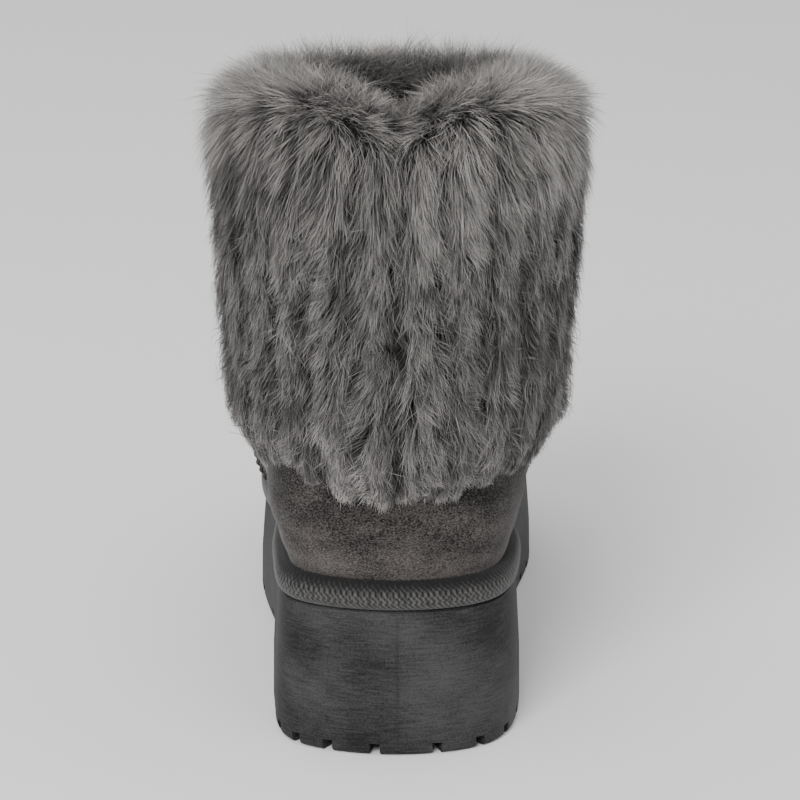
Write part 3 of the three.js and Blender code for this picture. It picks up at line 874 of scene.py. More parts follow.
def cut_tread(piece, cutters):
    """Take every cutter away from the piece's mesh."""
    for mesh, turn, where in cutters:
        tool = add_object("cutter", mesh)
        tool.rotation_euler.z = turn
        tool.location = where
        cut = piece.modifiers.new("cut", "BOOLEAN")
        cut.operation = "DIFFERENCE"
        cut.solver = "EXACT"
        cut.object = tool
        bpy.context.view_layer.update()
        graph = bpy.context.evaluated_depsgraph_get()
        made = bpy.data.meshes.new_from_object(piece.evaluated_get(graph))
        piece.modifiers.clear()
        old, piece.data = piece.data, made
        bpy.data.meshes.remove(old)
        bpy.data.objects.remove(tool)
        bpy.data.meshes.remove(mesh)


def make_sole(sizes, colours):
    """The platform with its tread, sharp only where its faces meet at more than 32 degrees."""
    piece = add_object("platform_sole", sole_body(sizes))
    cut_tread(piece, tread_cutters(sizes))
    piece.data.materials.clear()
    piece.data.materials.append(foam_material(colours))
    piece.data.set_sharp_from_angle(angle=math.radians(32))
    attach(piece, "root")
    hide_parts("sole")
    return piece


def make_mould_line(material):
    """The fine raised line that the mould's halves leave down the centre of the back."""
    shares = np.linspace(0.1, 0.96, 24)
    back = np.interp(shares, SOLE_WALL["share"], np.array(SOLE_WALL["inset"]) * MM) - HEEL
    # Millimetres to the side, and into the wall where positive
    section = ((-0.4, 0.15), (-0.2, -0.3), (0.2, -0.3), (0.4, 0.15))
    rows = []
    for share, y in zip(shares, back):
        for x, into in section:
            rows.append((x * MM, y + into * MM, share * HEEL_HEIGHT))
    quads = ring_faces(len(shares), len(section))[:, [0, 3, 2, 1]]
    ends = np.arange(len(section))
    ends = np.array([ends[::-1], ends + len(rows) - len(section)])
    mesh = make_mesh("mould_line", np.array(rows), [quads, ends], smooth=False)
    add_piece("mould_line", mesh, "sole", material)


# Tape


def make_tape(sizes, colours, around=1280, across=17):
    """A soft woven roll on the sole's edge, with its herringbone ribs raised."""
    rib_pitch, rib_height, band = 1.9 * MM, 0.32 * MM, 3.1 * MM
    turns = np.arange(around) / around
    places = np.linspace(0, 1, across)
    rises = column(TAPE, "rise", places) * sizes.tape_height
    prouds = column(TAPE, "proud", places) * sizes.tape_proud
    insets = sizes.wall_lean - prouds
    grid = np.array(
        [sole_ring(sizes, turns, inset, 1.0, rise + GAP) for inset, rise in zip(insets, rises)]
    )
    across_run = run_along(grid)
    middle = grid[across // 2]
    steps = np.linalg.norm(np.roll(middle, -1, 0) - middle, axis=-1)
    along_run = np.concatenate([[0], np.cumsum(steps)[:-1]])
    phase = along_run / steps.sum() * round(steps.sum() / rib_pitch)
    # The ribs lean one way in one band and back in the next, which makes the herringbone
    zigzag = np.abs(((across_run / band) % 2) - 1) * band / rib_pitch
    rib = np.abs(np.sin(math.pi * (phase[None, :] + zigzag[:, None])))
    fade = np.sin(math.pi * places).clip(0) ** 0.3
    raised = (rib - 0.5) * rib_height * fade[:, None]
    inner = sole_ring(sizes, turns, insets[-1], 1.0, GAP)
    grid = np.concatenate([inner[None], grid + outward(grid) * raised[..., None]])
    mesh = make_mesh("welt_tape", grid, [ring_faces(len(grid), around, closed_rows=True)])
    rng = np.random.default_rng(11)
    fleck = 0.6 + 0.9 * rng.random((across, around))
    # Painted light and shade: the lower band is painted lighter for the light that falls on it, and
    # the top darker for the shadow of the suede and fur that hang over it
    shade = mix(1.3, 0.3, ease((places - 0.35) / 0.35))[:, None]
    light = np.concatenate([np.zeros((1, around)), rib**1.5 * fleck * shade]).reshape(-1, 1)
    point_colours(mesh, "weave_and_painted_light", light)
    piece = add_piece("tape_roll", mesh, "tape", tape_material(colours))
    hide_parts("welt_tape")


# Upper


def seam_away(sizes, grid):
    """How far points lie from the leaning plane that the side seam runs in."""
    start, lean = 52 * MM, math.radians(40)
    point = np.array([0, start, float(top_of_sole(sizes, np.array(start)))])
    return (grid - point) @ np.array([0, math.cos(lean), -math.sin(lean)])


def seam_relief(sizes, grid):
    """How far the raised side seam lifts the suede."""
    away = seam_away(sizes, grid) / (sizes.seam_width / 2)
    return sizes.seam_height * np.sqrt(clamp(1 - away**2))


def crease_relief(grid):
    """Soft troughs, each with a low ridge beside it."""
    relief = np.zeros(grid.shape[:2])
    for crease in CREASES:
        lean = math.radians(crease["lean"])
        dy = grid[..., 1] / MM - crease["y"]
        dz = grid[..., 2] / MM - crease["z"]
        along = dy * math.cos(lean) + dz * math.sin(lean)
        aside = -dy * math.sin(lean) + dz * math.cos(lean) + CREASE_BOW * along**2
        on_side = clamp(grid[..., 0] * crease["side"] / (8 * MM))
        reach = bell(along, crease["length"] / 1.6) * on_side
        trough = -bell(aside, crease["width"] * 0.7)
        ridge = 0.45 * bell(aside - 1.5 * crease["width"], crease["width"])
        relief += crease["depth"] * MM * reach * (trough + ridge)
    return relief


def make_upper(sizes, colours, around=264, levels=96):
    """The suede foot and shaft, with its wool lining as the inner face."""
    unevenness = 0.22 * MM
    turns = np.arange(around) / around
    # Most levels lie low, where the suede shows under the fur
    places = np.linspace(0, 1, levels) ** 1.35
    outer = upper_surface(sizes, places, turns)
    facing = outward(outer)
    inner = outer - facing * sizes.upper_wall
    relief = seam_relief(sizes, outer) + crease_relief(outer)
    relief += unevenness * smooth_noise(np.random.default_rng(5), outer.shape[:2], (16, 26))
    low = ease(places / 0.05)[:, None]
    outer = outer + facing * (relief * low)[..., None]
    floor = top_of_sole(sizes, outer[0, :, 1]) + GAP
    outer[0, :, 2] = floor
    inner[0, :, 2] = floor
    # The lining hardly shows, so it has a third of the levels, and its foot
    grid = np.concatenate([outer, inner[:1:-3], inner[:1]])
    faces = ring_faces(len(grid), around, closed_rows=True)
    mesh = make_mesh("upper", grid, [faces])
    piece = add_piece(
        "suede_upper", mesh, "suede", suede_material(colours), fleece_material(colours)
    )
    lining = np.zeros(len(faces), np.int32)
    lining[levels * around :] = 1
    mesh.polygons.foreach_set("material_index", lining)
    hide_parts("upper")


def seam_path(sizes, around, levels):
    """Points along the side seam from one foot over the instep to the other, and their normals."""
    nearest = 1.2 * MM
    turns = np.arange(around) / around
    surface = upper_surface(sizes, np.linspace(0.02, 0.9, levels), turns)
    facing = outward(surface)
    away = np.abs(seam_away(sizes, surface))
    crossing = np.argmin(away, axis=0)
    columns = np.arange(around)
    close = away[crossing, columns] < nearest
    path, out = surface[crossing, columns][close], facing[crossing, columns][close]
    steps = np.linalg.norm(np.roll(path, -1, 0) - path, axis=-1)
    start = int(np.argmax(steps)) + 1
    return np.roll(path, -start, 0), np.roll(out, -start, 0)


def make_seam_stitches(sizes, colours):
    """Overlock stitches that wrap the raised side seam, on both sides and over the instep."""
    path, out = seam_path(sizes, around=1200, levels=700)
    run = run_along(path)
    at = (np.arange(int(run[-1] / sizes.stitch_pitch)) + 0.5) * sizes.stitch_pitch
    centres = np.stack([np.interp(at, run, path[:, k]) for k in range(3)], -1)
    outs = np.stack([np.interp(at, run, out[:, k]) for k in range(3)], -1)
    tangents = unit(np.gradient(centres, axis=0))
    outs = unit(outs - tangents * (outs * tangents).sum(-1, keepdims=True))
    sides = np.cross(tangents, outs)
    radius, slant = 0.85 * MM, 0.25
    half, rise = sizes.seam_width / 2 + 0.1 * MM, sizes.seam_height + 0.4 * MM
    # Each stitch goes a little past the half turn, so that its ends go into the suede
    arc = np.linspace(-1.12, 1.12, 9) * math.pi / 2
    ring = np.linspace(0, 2 * math.pi, 6, endpoint=False)
    points, quads = [], []
    for c, t, o, s in zip(centres, tangents, outs, sides):
        quads.append(ring_faces(len(arc), len(ring)) + len(points))
        for a in arc:
            hub = c + s * half * math.sin(a) + o * rise * math.cos(a) + t * slant * half * a
            spoke = s * math.sin(a) + o * math.cos(a)
            for r in ring:
                points.append(hub + radius * (spoke * math.cos(r) + t * math.sin(r)))
    mesh = make_mesh("seam_stitches", np.array(points), [np.concatenate(quads)])
    add_piece("seam_stitches", mesh, "suede", thread_material(colours))


# Fur

# How the hem departs from its level at the back
HEM_SIDE_DROP = 3 * MM
HEM_FRONT_RISE = 24 * MM

# Locks and the wisps in them, as length along the nap and width across it, and the length of the
# patches of one tone in a strip of pelt
LOCK = (8 * MM, 4.6 * MM)
WISP = (3.2 * MM, 1.5 * MM)
PATCH = 24 * MM

# How far hairs differ: the most that a patch, a lock or a wisp adds either way, and the spread of
# single hairs. Turns are in degrees, lifts in millimetres, leans and sways in shares of the length
VARY = {
    "turn": {"patch": 18, "lock": 27, "wisp": 20, "hair": 8},
    "lift": {"lock": 1.3, "wisp": 1.1, "hair": 0.5},
    "lean": {"lock": 0.28, "wisp": 0.3, "hair": 0.25},
    "sway": {"lock": 0.35, "wisp": 0.35, "hair": 0.25},
}
STRAY_SHARE, STRAY_TURN = 0.08, 30

# The four places along a hair and how wide it is there, and where its seven points lie in its cell
# of the map
STEPS = np.array([0.0, 0.3, 0.64, 1.0])
TAPER = np.array([0.9, 1.0, 0.72, 0.0])
HAIR_CELL = np.array(
    [(0.2, 0.1), (0.8, 0.1), (0.2, 0.36), (0.8, 0.36), (0.2, 0.62), (0.8, 0.62), (0.5, 0.9)]
)


def hem_height(fur, y):
    """The height of the fur's lower edge, which climbs over the instep."""
    side = HEM_SIDE_DROP * bell(y - 0.1 * FOREPART, 0.17 * FOREPART)
    front = HEM_FRONT_RISE * ease((y - 0.15 * FOREPART) / (0.32 * FOREPART))
    return HEEL_HEIGHT + fur.hem_rise - side + front


def crest_height(sizes, fur, y):
    """The height of the fur's top, which falls with the collar towards the toe."""
    along = clamp((y + sizes.collar_back) / (sizes.collar_back + sizes.collar_front))
    return HEEL_HEIGHT + sizes.collar_rise - sizes.collar_slope * along + fur.crest


def shaft_point(sizes, turns, depth, rise):
    """Points round the shaft's oval in plan, moved out by a depth."""
    low = 1 - ease(rise * 1.6)
    back = mix(sizes.collar_back, sizes.ankle_width / 2, low) + depth
    front = sizes.collar_front + 26 * MM * low + depth
    angle = turns * 2 * math.pi
    x = -np.sin(angle) * (sizes.collar_width / 2 + depth)
    y = (front - back) / 2 - np.cos(angle) * (front + back) / 2
    return x, y


def fur_row(sizes, fur, up, turns):
    """One ring of the fur's outside, at a share of the way up."""
    rise = float(clamp(column(FUR, "rise", up)))
    crown = np.abs(np.sin(turns * fur.strips * math.pi)) - 0.5
    relief = fur.relief * crown * (1 - ease((up - 0.9) / 0.1))
    depth = column(FUR, "depth", up) * fur.depth + relief
    x, y = shaft_point(sizes, turns, depth, rise)
    dip = FUR_DIP * seam_dip(x, y, (rise - 0.7) / 0.3)
    z = mix(hem_height(fur, y), crest_height(sizes, fur, y), rise) - dip
    return np.stack([x, y, z], -1)


def lip_row(sizes, fur, drop, turns):
    """One ring of the fur's inside, some way under the crest."""
    depth = np.interp(-drop, -np.array(LIP["drop"], float), LIP["depth"])
    x, y = shaft_point(sizes, turns, -(sizes.upper_wall + GAP + depth * fur.lip), 1.0)
    dip = FUR_DIP * seam_dip(x, y, 1.0 - drop / 40)
    return np.stack([x, y, crest_height(sizes, fur, y) - drop * MM - dip], -1)


class Pelt:
    """The pelt as closed rows, from the lip's foot over the crest to below the hem."""

    POINTS_IN_STRIP = 20
    LIP_ROWS, OUTSIDE_ROWS, GIRTH_ROW = 26, 70, 60
    SOFTENING = 3
    FRINGE = 12 * MM

    def __init__(self, sizes, fur):
        self.around = fur.strips * self.POINTS_IN_STRIP
        turns = np.arange(self.around) / self.around
        drops, ups = np.linspace(58, 2, self.LIP_ROWS), np.linspace(1, 0, self.OUTSIDE_ROWS)
        inside = [lip_row(sizes, fur, drop, turns) for drop in drops]
        outside = [fur_row(sizes, fur, up, turns) for up in ups]
        grid = np.array(inside + outside)
        for _ in range(self.SOFTENING):
            grid[1:-1] = 0.25 * grid[:-2] + 0.5 * grid[1:-1] + 0.25 * grid[2:]
        self.rows = len(grid)
        self.grid = np.concatenate([grid, self.fringe(grid[-1])])
        self.run = run_along(self.grid)
        self.hem = self.run[self.rows - 1]
        self.crest = self.run[int(np.argmax(self.grid[:, 0, 2]))]
        ring = self.grid[self.GIRTH_ROW]
        self.girth = np.linalg.norm(np.roll(ring, -1, 0) - ring, axis=-1).sum()
        # The rows run down the outside, so the normal of rings that go up is turned round
        self.out = -outward(self.grid)
        for _ in range(self.SOFTENING):
            self.out = (self.out + np.roll(self.out, 1, 1) + np.roll(self.out, -1, 1)) / 3
        self.out = unit(self.out)
        # How deep the hair's roots lie under the surface
        marks = (0, self.crest - 12 * MM, self.crest, self.crest + 20 * MM)
        marks += (self.hem - 22 * MM, self.hem, self.run[-1])
        depths = (3.0, 3.2, 3.2, 6.6, 6.2, 1.3, 1.3)
        self.deep = np.interp(self.run, marks, np.array(depths) * MM)
        self.skin = self.grid - self.out * self.deep[:, None, None]

    def fringe(self, hem):
        """Rows below the hem that draw in a little, for the locks that hang over it."""
        falls = np.linspace(0, self.FRINGE, 6)[1:]
        rows = np.array([hem - np.array([0, 0, fall]) for fall in falls])
        middle = np.array([0, 30 * MM])
        narrowing = (1 - 0.05 * falls / self.FRINGE)[:, None, None]
        rows[..., :2] = (rows[..., :2] - middle) * narrowing + middle
        return rows

    def at(self, run, turn, *fields):
        """The fields at lengths along the run and shares of the turn."""
        row = np.clip(np.interp(run, self.run, np.arange(len(self.run))), 0, len(self.run) - 1.001)
        col = (turn % 1.0) * self.around
        r, c = row.astype(int), col.astype(int)
        rt, ct = (row - r)[..., None], (col - c)[..., None]
        c, d = c % self.around, (c + 1) % self.around
        found = []
        for field in fields:
            low = mix(field[r, c], field[r, d], ct)
            high = mix(field[r + 1, c], field[r + 1, d], ct)
            found.append(mix(low, high, rt))
        return found


def clumps(rng, run, turn, pelt, along, across):
    """The clump that each root is nearest to: its middle and number, and how many there are."""
    count = max(1, round(pelt.girth / across))
    r, c = run / along, turn * count
    ri, ci = np.floor(r).astype(int), np.floor(c).astype(int)
    cells = (int(pelt.run[-1] / along) + 4, count)
    shift = rng.random((*cells, 2))
    best = np.full(run.shape, np.inf)
    centre_r, centre_c = r.copy(), c.copy()
    number = np.zeros(run.shape, int)
    for dr in (-1, 0, 1):
        for dc in (-1, 0, 1):
            rr = np.clip(ri + dr, 0, cells[0] - 1)
            cc = (ci + dc) % cells[1]
            at_r = ri + dr + shift[rr, cc, 0]
            at_c = ci + dc + shift[rr, cc, 1]
            gap = (at_r - r) ** 2 + (at_c - c) ** 2
            nearer = gap < best
            best = np.where(nearer, gap, best)
            centre_r = np.where(nearer, at_r, centre_r)
            centre_c = np.where(nearer, at_c, centre_c)
            number = np.where(nearer, rr * cells[1] + cc, number)
    total = cells[0] * cells[1]
    return {"run": centre_r * along, "turn": centre_c / count, "number": number, "total": total}


class Hairs:
    """Hairs rooted between two runs and two turns of the pelt, in locks and wisps."""

    def __init__(self, fur, pelt, seed, count, runs, turns):
        rng = np.random.default_rng(seed)
        self.fur, self.pelt, self.rng, self.count = fur, pelt, rng, count
        self.run = run = rng.uniform(*runs, count)
        self.turn = turn = rng.uniform(*turns, count)
        patch = np.floor(run / PATCH) * fur.strips + np.floor(turn * fur.strips)
        self.groups = {
            "lock": clumps(rng, run, turn, pelt, *LOCK),
            "wisp": clumps(rng, run, turn, pelt, *WISP),
            "patch": {"number": patch.astype(int), "total": int(patch.max()) + 1},
        }
        # How far below the crest a hair roots, and how far round from the back seam
        self.below = below = run - pelt.crest
        self.signed = (turn + 0.5) % 1.0 - 0.5
        self.from_seam = self.signed * pelt.girth
        self.stand = np.where(below > 0, bell(below, 32 * MM), 0.75 + 0.25 * bell(below, 14 * MM))
        self.inside = ease(-below / (8 * MM))
        in_strip = (turn * fur.strips) % 1.0
        self.furrow = bell(np.minimum(in_strip, 1 - in_strip), 0.17) * (1 - self.stand)
        # Standing hair is shorter at the back seam and longer in front
        size = mix(fur.hair_length, fur.rim_length, self.stand) * rng.uniform(0.7, 1.12, count)
        size *= self.each("lock", 0.82, 1.12)
        size *= 1 - 0.4 * self.stand * bell(self.from_seam, 15 * MM)
        self.size = size * (1 + 0.2 * self.stand * ease((np.abs(self.signed) - 0.28) / 0.14))
        self.stray = rng.random(count) < STRAY_SHARE

    def each(self, group, low, high):
        """A number for each patch, lock or wisp, which all its hairs share."""
        group = self.groups[group]
        return self.rng.uniform(low, high, group["total"])[group["number"]]

    def vary(self, trait):
        """What a hair's patch, lock and wisp and its own chance add to a trait."""
        total = np.zeros(self.count)
        for group, amount in VARY[trait].items():
            if group == "hair":
                total += self.rng.normal(0, amount, self.count)
            else:
                total += self.each(group, -amount, amount)
        return total

    def nap(self):
        """The turn of each lying hair. The nap parts at the back seam and turns away from it."""
        turning = self.fur.nap_turn * np.tanh(self.signed / 0.022)
        turning *= (0.3 + 0.7 * bell(self.signed, 0.2)) * (1 - 0.7 * self.stand)
        turned = self.vary("turn")
        stray_turn = self.rng.normal(0, STRAY_TURN, self.count)
        return turning + np.radians(turned + np.where(self.stray, stray_turn, 0))

    def lying_length(self):
        """The length of each lying hair, which ends where its lock hangs over the hem."""
        overhang = self.each("lock", 0.0, 6.0) * MM
        overhang += self.rng.uniform(-1.5, 1.5, self.count) * MM
        # A gap in the hem beside the back seam, and shorter locks at the sides
        overhang -= 7 * MM * bell(self.from_seam + 9 * MM, 5 * MM)
        overhang -= 5 * MM * bell(np.abs(self.signed) - 0.25, 0.08)
        return np.minimum(self.size, np.maximum(self.pelt.hem + overhang - self.run, 3.5 * MM))

    def swing(self):
        """How far each point waves to the side, much alike in a wisp."""
        wave = self.each("wisp", 0.55, 1.15)[:, None]
        phase = (self.each("wisp", 0, 1) + self.rng.uniform(-0.08, 0.08, self.count))[:, None]
        swing = np.sin(2 * math.pi * (wave * STEPS + phase)) - np.sin(2 * math.pi * phase)
        reach = self.each("wisp", 0.4, 2.0) * self.rng.uniform(0.7, 1.2, self.count)
        return swing * reach[:, None] * MM

    def lying_lines(self, turning, length, swing):
        """Lines of hair that follows the skin, gathered into locks and wisps, with its normals."""
        t = STEPS[None, :]
        pelt, lock, wisp = self.pelt, self.groups["lock"], self.groups["wisp"]
        run, turn = self.run[:, None], self.turn[:, None]
        forward = (0.35 * t + 0.65 * t**2) * 0.94
        gather, fine = 0.25 * t**1.6, 0.55 * t**1.2
        down, aside = length * np.cos(turning), length * np.sin(turning)
        path_run = run + down[:, None] * forward + 0.4 * swing
        path_run += (lock["run"][:, None] - run) * gather * 0.4
        path_run += (wisp["run"][:, None] - run) * fine * 0.5
        path_turn = turn + (aside[:, None] * forward + swing) / pelt.girth
        path_turn += (lock["turn"][:, None] - turn) * gather
        path_turn += (wisp["turn"][:, None] - turn) * fine
        skin, out = pelt.at(path_run, path_turn, pelt.skin, pelt.out)
        deep = np.interp(path_run, pelt.run, pelt.deep)
        lift = self.vary("lift") + np.where(self.stray, self.rng.uniform(0.4, 3.0, self.count), 0)
        lift = (lift - 3.2 * self.furrow)[:, None] * MM
        top = np.maximum(deep + lift * clamp(deep / (5 * MM)), 0.5 * MM)
        return skin + out * (top * (1 - (1 - t) ** 2.0))[..., None], out

    def standing_lines(self, swing):
        """Lines of hair that leaves the rim straight, while each lock leans its own way."""
        t = STEPS[None, :]
        pelt, run, turn, lock = self.pelt, self.run, self.turn, self.groups["lock"]
        root, normal = pelt.at(run, turn, pelt.skin, pelt.out)
        ahead = pelt.at(run + 3 * MM, turn, pelt.skin)[0] - root
        ahead = unit(ahead - normal * (ahead * normal).sum(-1, keepdims=True))
        aside = np.cross(normal, ahead)
        lean = 0.22 + 0.7 * clamp(self.below / (30 * MM)) + self.vary("lean")
        lean += 0.6 * bell(self.from_seam, 24 * MM) * ease(self.below / (6 * MM))
        sway = self.vary("sway")
        # The hair parts at the back seam, over the crest and just below it
        away = unit(pelt.at(run, turn + 0.004 * np.sign(self.signed), pelt.skin)[0] - root)
        apart = np.abs(self.from_seam)
        parting = 0.25 * bell(apart, 20 * MM) * np.tanh(apart / (5 * MM))
        parting *= bell(np.maximum(self.below, 0), 9 * MM)
        bend = ahead * lean[:, None] + aside * sway[:, None] + away * parting[:, None]
        rise, curve = (0.97 * t)[..., None], (0.4 * t + 0.6 * t**2)[..., None]
        line = root[:, None] + self.size[:, None, None] * (
            normal[:, None] * rise + bend[:, None] * curve
        )
        middle = pelt.at(lock["run"], lock["turn"], pelt.skin)[0]
        line += (middle - root)[:, None] * (0.4 * t**1.5)[..., None]
        line += aside[:, None] * swing[..., None]
        line[..., 2] -= 0.1 * self.size[:, None] * t**2
        return line

    def half_widths(self, line, out):
        """From each point of a line to the hair's edge, rolled more where the hair stands."""
        tangent = unit(np.gradient(line, axis=1))
        flat = unit(np.cross(tangent, out + 1e-6))
        roll = self.rng.normal(0, 0.4, self.count)
        roll += math.pi * self.stand * self.rng.random(self.count)
        roll = roll[:, None, None]
        side = flat * np.cos(roll) + np.cross(tangent, flat) * np.sin(roll)
        width = self.fur.hair_width * self.rng.uniform(0.7, 1.25, self.count)
        width *= 1 - 0.25 * self.stand
        return side * (width[:, None] * TAPER)[..., None] / 2

    def tones(self):
        """Each point's place in the hair's colours, and how light the whole hair is, with painted
        light and shade.
        """
        tone = self.each("lock", 0.84, 1.18) * self.each("wisp", 0.76, 1.24)
        tone *= self.each("patch", 0.84, 1.16) * self.rng.uniform(0.74, 1.24, self.count)
        # Painted shade darkens the hair in the furrows between strips and inside the collar, and
        # painted light brightens the standing hair of the crest
        tone *= (1 - 0.55 * self.furrow) * (1 - 0.45 * self.inside) * (1 + 0.5 * self.stand)
        # Painted light: the hair near the hem is painted lighter, where less of the overhead light
        # falls
        tone *= 1 + 0.5 * bell(self.run - self.pelt.hem, 24 * MM)
        # Standing hair is so dense that only its paler length shows
        hidden = 0.4 * self.stand * (1 - self.inside)
        return mix(STEPS[None, :], 1.0, hidden[:, None]), tone

    def mesh(self, name):
        """All the hairs as one mesh of flat tapering blades."""
        turning, length, swing = self.nap(), self.lying_length(), self.swing()
        lying, out = self.lying_lines(turning, length, swing)
        line = mix(lying, self.standing_lines(swing), self.stand[:, None, None])
        line[:, 1:] += self.rng.normal(0, 0.15 * MM, (self.count, 3, 3))
        return hair_mesh(name, line, self.half_widths(line, out), *self.tones())


def hair_mesh(name, line, half, along, tone):
    """Flat tapering hairs as one mesh, with each point's place along its hair and its tone."""
    count = len(line)
    pairs = np.stack([line[:, :3] - half[:, :3], line[:, :3] + half[:, :3]], 2)
    points = np.concatenate([pairs.reshape(count, 6, 3), line[:, 3:]], 1)
    base = (np.arange(count) * 7)[:, None]
    quads = np.concatenate([base + np.array([0, 1, 3, 2]), base + np.array([2, 3, 5, 4])])
    tips = base + np.array([4, 5, 6])
    mesh = make_mesh(name, points, [quads, tips])
    places = along[:, [0, 0, 1, 1, 2, 2, 3]]
    both = np.stack([places, np.broadcast_to(tone[:, None], (count, 7))], -1)
    point_colours(mesh, "hair", both.reshape(-1, 2))
    # Each hair has a cell of its own in the map, so that its colours can be kept in an image
    cells = math.ceil(math.sqrt(count))
    number = np.arange(count)
    corner = np.stack([number % cells, number // cells], -1)[:, None]
    lay_map(mesh, "OFBake", ((corner + HAIR_CELL) / cells).reshape(-1, 2))
    return mesh


def make_skin(pelt, material):
    """The pelt's backing and underfur, as a closed sheet under the roots."""
    thickness = 0.8 * MM
    near_root, dim = 0.1, 0.8
    rows = [*range(0, pelt.rows - 1, 3), pelt.rows - 1]
    outer = pelt.skin[rows, ::4]
    inner = outer - pelt.out[rows, ::4] * thickness
    grid = np.concatenate([outer[::-1], inner])
    mesh = make_mesh("fur_skin", grid, [ring_faces(len(grid), grid.shape[1], closed_rows=True)])
    point_colours(mesh, "hair", np.full((len(mesh.vertices), 2), (near_root, dim)))
    piece = add_piece("fur_skin", mesh, "fur", material)
    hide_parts("fur_shaft")


def make_fur(sizes, fur, colours):
    """The backing, the hair of the outside in quarters, and that of the rim and the lining."""
    pelt = Pelt(sizes, fur)
    material = fur_material(colours)
    make_skin(pelt, material)
    share = 1.0

    def grow(name, seed, hairs, runs, turns):
        hair = Hairs(fur, pelt, seed, int(hairs * share), runs, turns)
        add_piece(name, hair.mesh(name), "fur", material)

    outside = (pelt.crest + 9 * MM, pelt.hem - 1.0 * MM)
    quarters = (("back", -0.125), ("outer", 0.125), ("front", 0.375), ("inner", 0.625))
    for number, (name, start) in enumerate(quarters):
        turns = (start, start + 0.25)
        grow(f"fur_{name}", 100 + number, fur.outer_hairs, outside, turns)
    rim = (pelt.crest - 16 * MM, pelt.crest + 12 * MM)
    grow("fur_rim", 200, fur.rim_hairs, rim, (0.0, 1.0))
    grow("fur_lining", 201, fur.lining_hairs, (2 * MM, pelt.crest - 14 * MM), (0.0, 1.0))


# Stage

# The middle of the boot as the photograph frames it
MIDDLE = Vector((0, 48.5, 95)) * MM


def make_floor(colours):
    """The floor, a hair's breadth under the lugs so that the two never lie in one plane."""
    reach, sunk = 4, 0.2 * MM
    corners = [(-reach, -reach), (reach, -reach), (reach, reach), (-reach, reach)]
    points = np.array([(x, y, -sunk) for x, y in corners])
    mesh = make_mesh("floor", points, [np.array([(0, 1, 2, 3)])])
    floor = add_object("floor", mesh)
    mesh.materials.append(floor_material(colours))


def light_boot(stage):
    """Soft light from overhead, a large key light behind the camera, and two weak ones."""
    world = bpy.data.worlds.new("soft overhead light")
    bpy.context.scene.world = world
    world.use_nodes = True
    tree = world.node_tree
    where = add_node(tree, "ShaderNodeTexCoord")
    parts = add_node(tree, "ShaderNodeSeparateXYZ", {}, {"Vector": where.outputs["Generated"]})
    strength = add_node(
        tree,
        "ShaderNodeMapRange",
        {"To Min": stage.horizon, "To Max": stage.overhead},
        {"Value": parts.outputs["Z"]},
    )
    background = tree.nodes["Background"]
    background.inputs["Color"].default_value = (1, 1, 1, 1)
    tree.links.new(strength.outputs["Result"], background.inputs["Strength"])
    lights = (
        ("key", (-0.5, -1.4, 1.2), 0.8, stage.key_power),
        ("fill", (0.8, -1.2, 0.8), 0.9, 0.05 * stage.key_power),
        ("back", (-0.6, 1.5, 1.3), 0.9, 0.08 * stage.key_power),
    )
    for name, place, size, power in lights:
        light = bpy.data.lights.new(name, "AREA")
        light.size = size
        light.energy = power
        lamp = add_object(name, light)
        lamp.location = place
        lamp.rotation_euler = (MIDDLE - lamp.location).to_track_quat("-Z", "Y").to_euler()


def aim_camera(stage):
    """The camera straight behind the boot, its picture moved over by a few of its 800 pixels."""
    camera = bpy.data.cameras.new("camera")
    camera.sensor_width = 36
    camera.lens = stage.lens
    camera.shift_x = 3 / 800
    camera.clip_start, camera.clip_end = 0.01, 20
    eye = add_object("camera", camera)
    back = Vector((0, -math.cos(stage.elevation), math.sin(stage.elevation)))
    eye.location = MIDDLE + back * stage.distance
    eye.rotation_euler = (-back).to_track_quat("-Z", "Y").to_euler()
    bpy.context.scene.camera = eye


# Operators


class BOOT_OT_sole(Operator):
    """Build the moulded platform with its tread and mould line."""

    bl_idname = "boot.sole"
    bl_label = "Platform sole"

    def execute(self, context):
        sole = make_sole(context.scene.boot_sizes, context.scene.boot_colours)
        make_mould_line(sole.data.materials[0])
        return {"FINISHED"}


class BOOT_OT_tape(Operator):
    """Build the woven tape between sole and upper."""

    bl_idname = "boot.tape"
    bl_label = "Woven tape"

    def execute(self, context):
        make_tape(context.scene.boot_sizes, context.scene.boot_colours)
        return {"FINISHED"}


class BOOT_OT_upper(Operator):
    """Build the suede upper with its lining and side seam."""

    bl_idname = "boot.upper"
    bl_label = "Suede upper"

    def execute(self, context):
        make_upper(context.scene.boot_sizes, context.scene.boot_colours)
        make_seam_stitches(context.scene.boot_sizes, context.scene.boot_colours)
        return {"FINISHED"}


class BOOT_OT_insole(Operator):
    """Give the insole its fleece."""

    bl_idname = "boot.insole"
    bl_label = "Insole"

    def execute(self, context):
        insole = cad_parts["insole"]
        insole.data.materials.clear()
        insole.data.materials.append(fleece_material(context.scene.boot_colours))
        return {"FINISHED"}


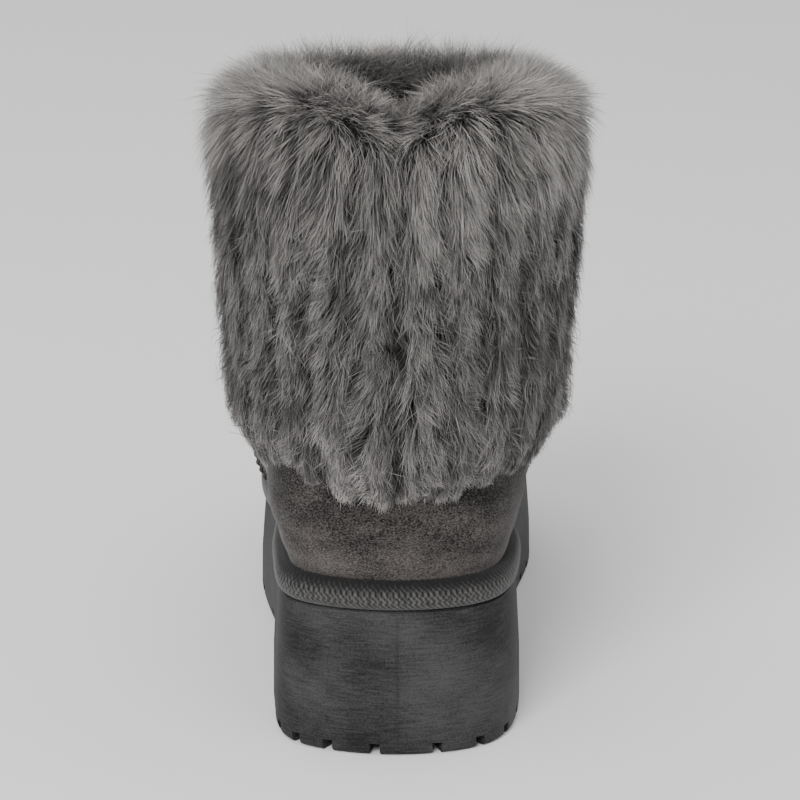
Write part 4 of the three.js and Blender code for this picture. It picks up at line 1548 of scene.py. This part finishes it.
class BOOT_OT_fur(Operator):
    """Grow the fur of the shaft and its rim."""

    bl_idname = "boot.fur"
    bl_label = "Fur shaft"

    def execute(self, context):
        scene = context.scene
        make_fur(scene.boot_sizes, scene.boot_fur, scene.boot_colours)
        return {"FINISHED"}


class BOOT_OT_stage(Operator):
    """Set up the floor, the lights and the camera."""

    bl_idname = "boot.stage"
    bl_label = "Studio stage"

    def execute(self, context):
        make_floor(context.scene.boot_colours)
        light_boot(context.scene.boot_stage)
        aim_camera(context.scene.boot_stage)
        return {"FINISHED"}


class BOOT_PT_panel(Panel):
    """Lists the boot's pieces with their sizes and colours."""

    bl_idname = "BOOT_PT_panel"
    bl_label = "Snow boot"
    bl_space_type = "VIEW_3D"
    bl_region_type = "UI"
    bl_category = "Snow boot"

    def draw(self, context):
        layout = self.layout
        for operator in OPERATORS:
            layout.operator(operator.bl_idname)
        for group in SETTINGS:
            box = layout.box()
            settings = getattr(context.scene, group)
            for name in settings.__annotations__:
                box.prop(settings, name)


OPERATORS = (
    BOOT_OT_sole,
    BOOT_OT_tape,
    BOOT_OT_upper,
    BOOT_OT_insole,
    BOOT_OT_fur,
    BOOT_OT_stage,
)
SETTINGS = {
    "boot_sizes": BootSizes,
    "boot_fur": FurSizes,
    "boot_colours": BootColours,
    "boot_stage": StageSettings,
}
CLASSES = (*SETTINGS.values(), *OPERATORS, BOOT_PT_panel)


def register():
    """Register the settings, the operators and the panel."""
    for group in CLASSES:
        bpy.utils.register_class(group)
    for name, group in SETTINGS.items():
        setattr(bpy.types.Scene, name, PointerProperty(type=group))


def unregister():
    """Take away what register added."""
    for name in SETTINGS:
        delattr(bpy.types.Scene, name)
    for group in reversed(CLASSES):
        bpy.utils.unregister_class(group)


def main():
    """Build the boot and its stage."""
    register()
    bpy.ops.boot.sole()
    bpy.ops.boot.tape()
    bpy.ops.boot.upper()
    bpy.ops.boot.insole()
    bpy.ops.boot.fur()
    bpy.ops.boot.stage()


if __name__ == "__main__":
    main()
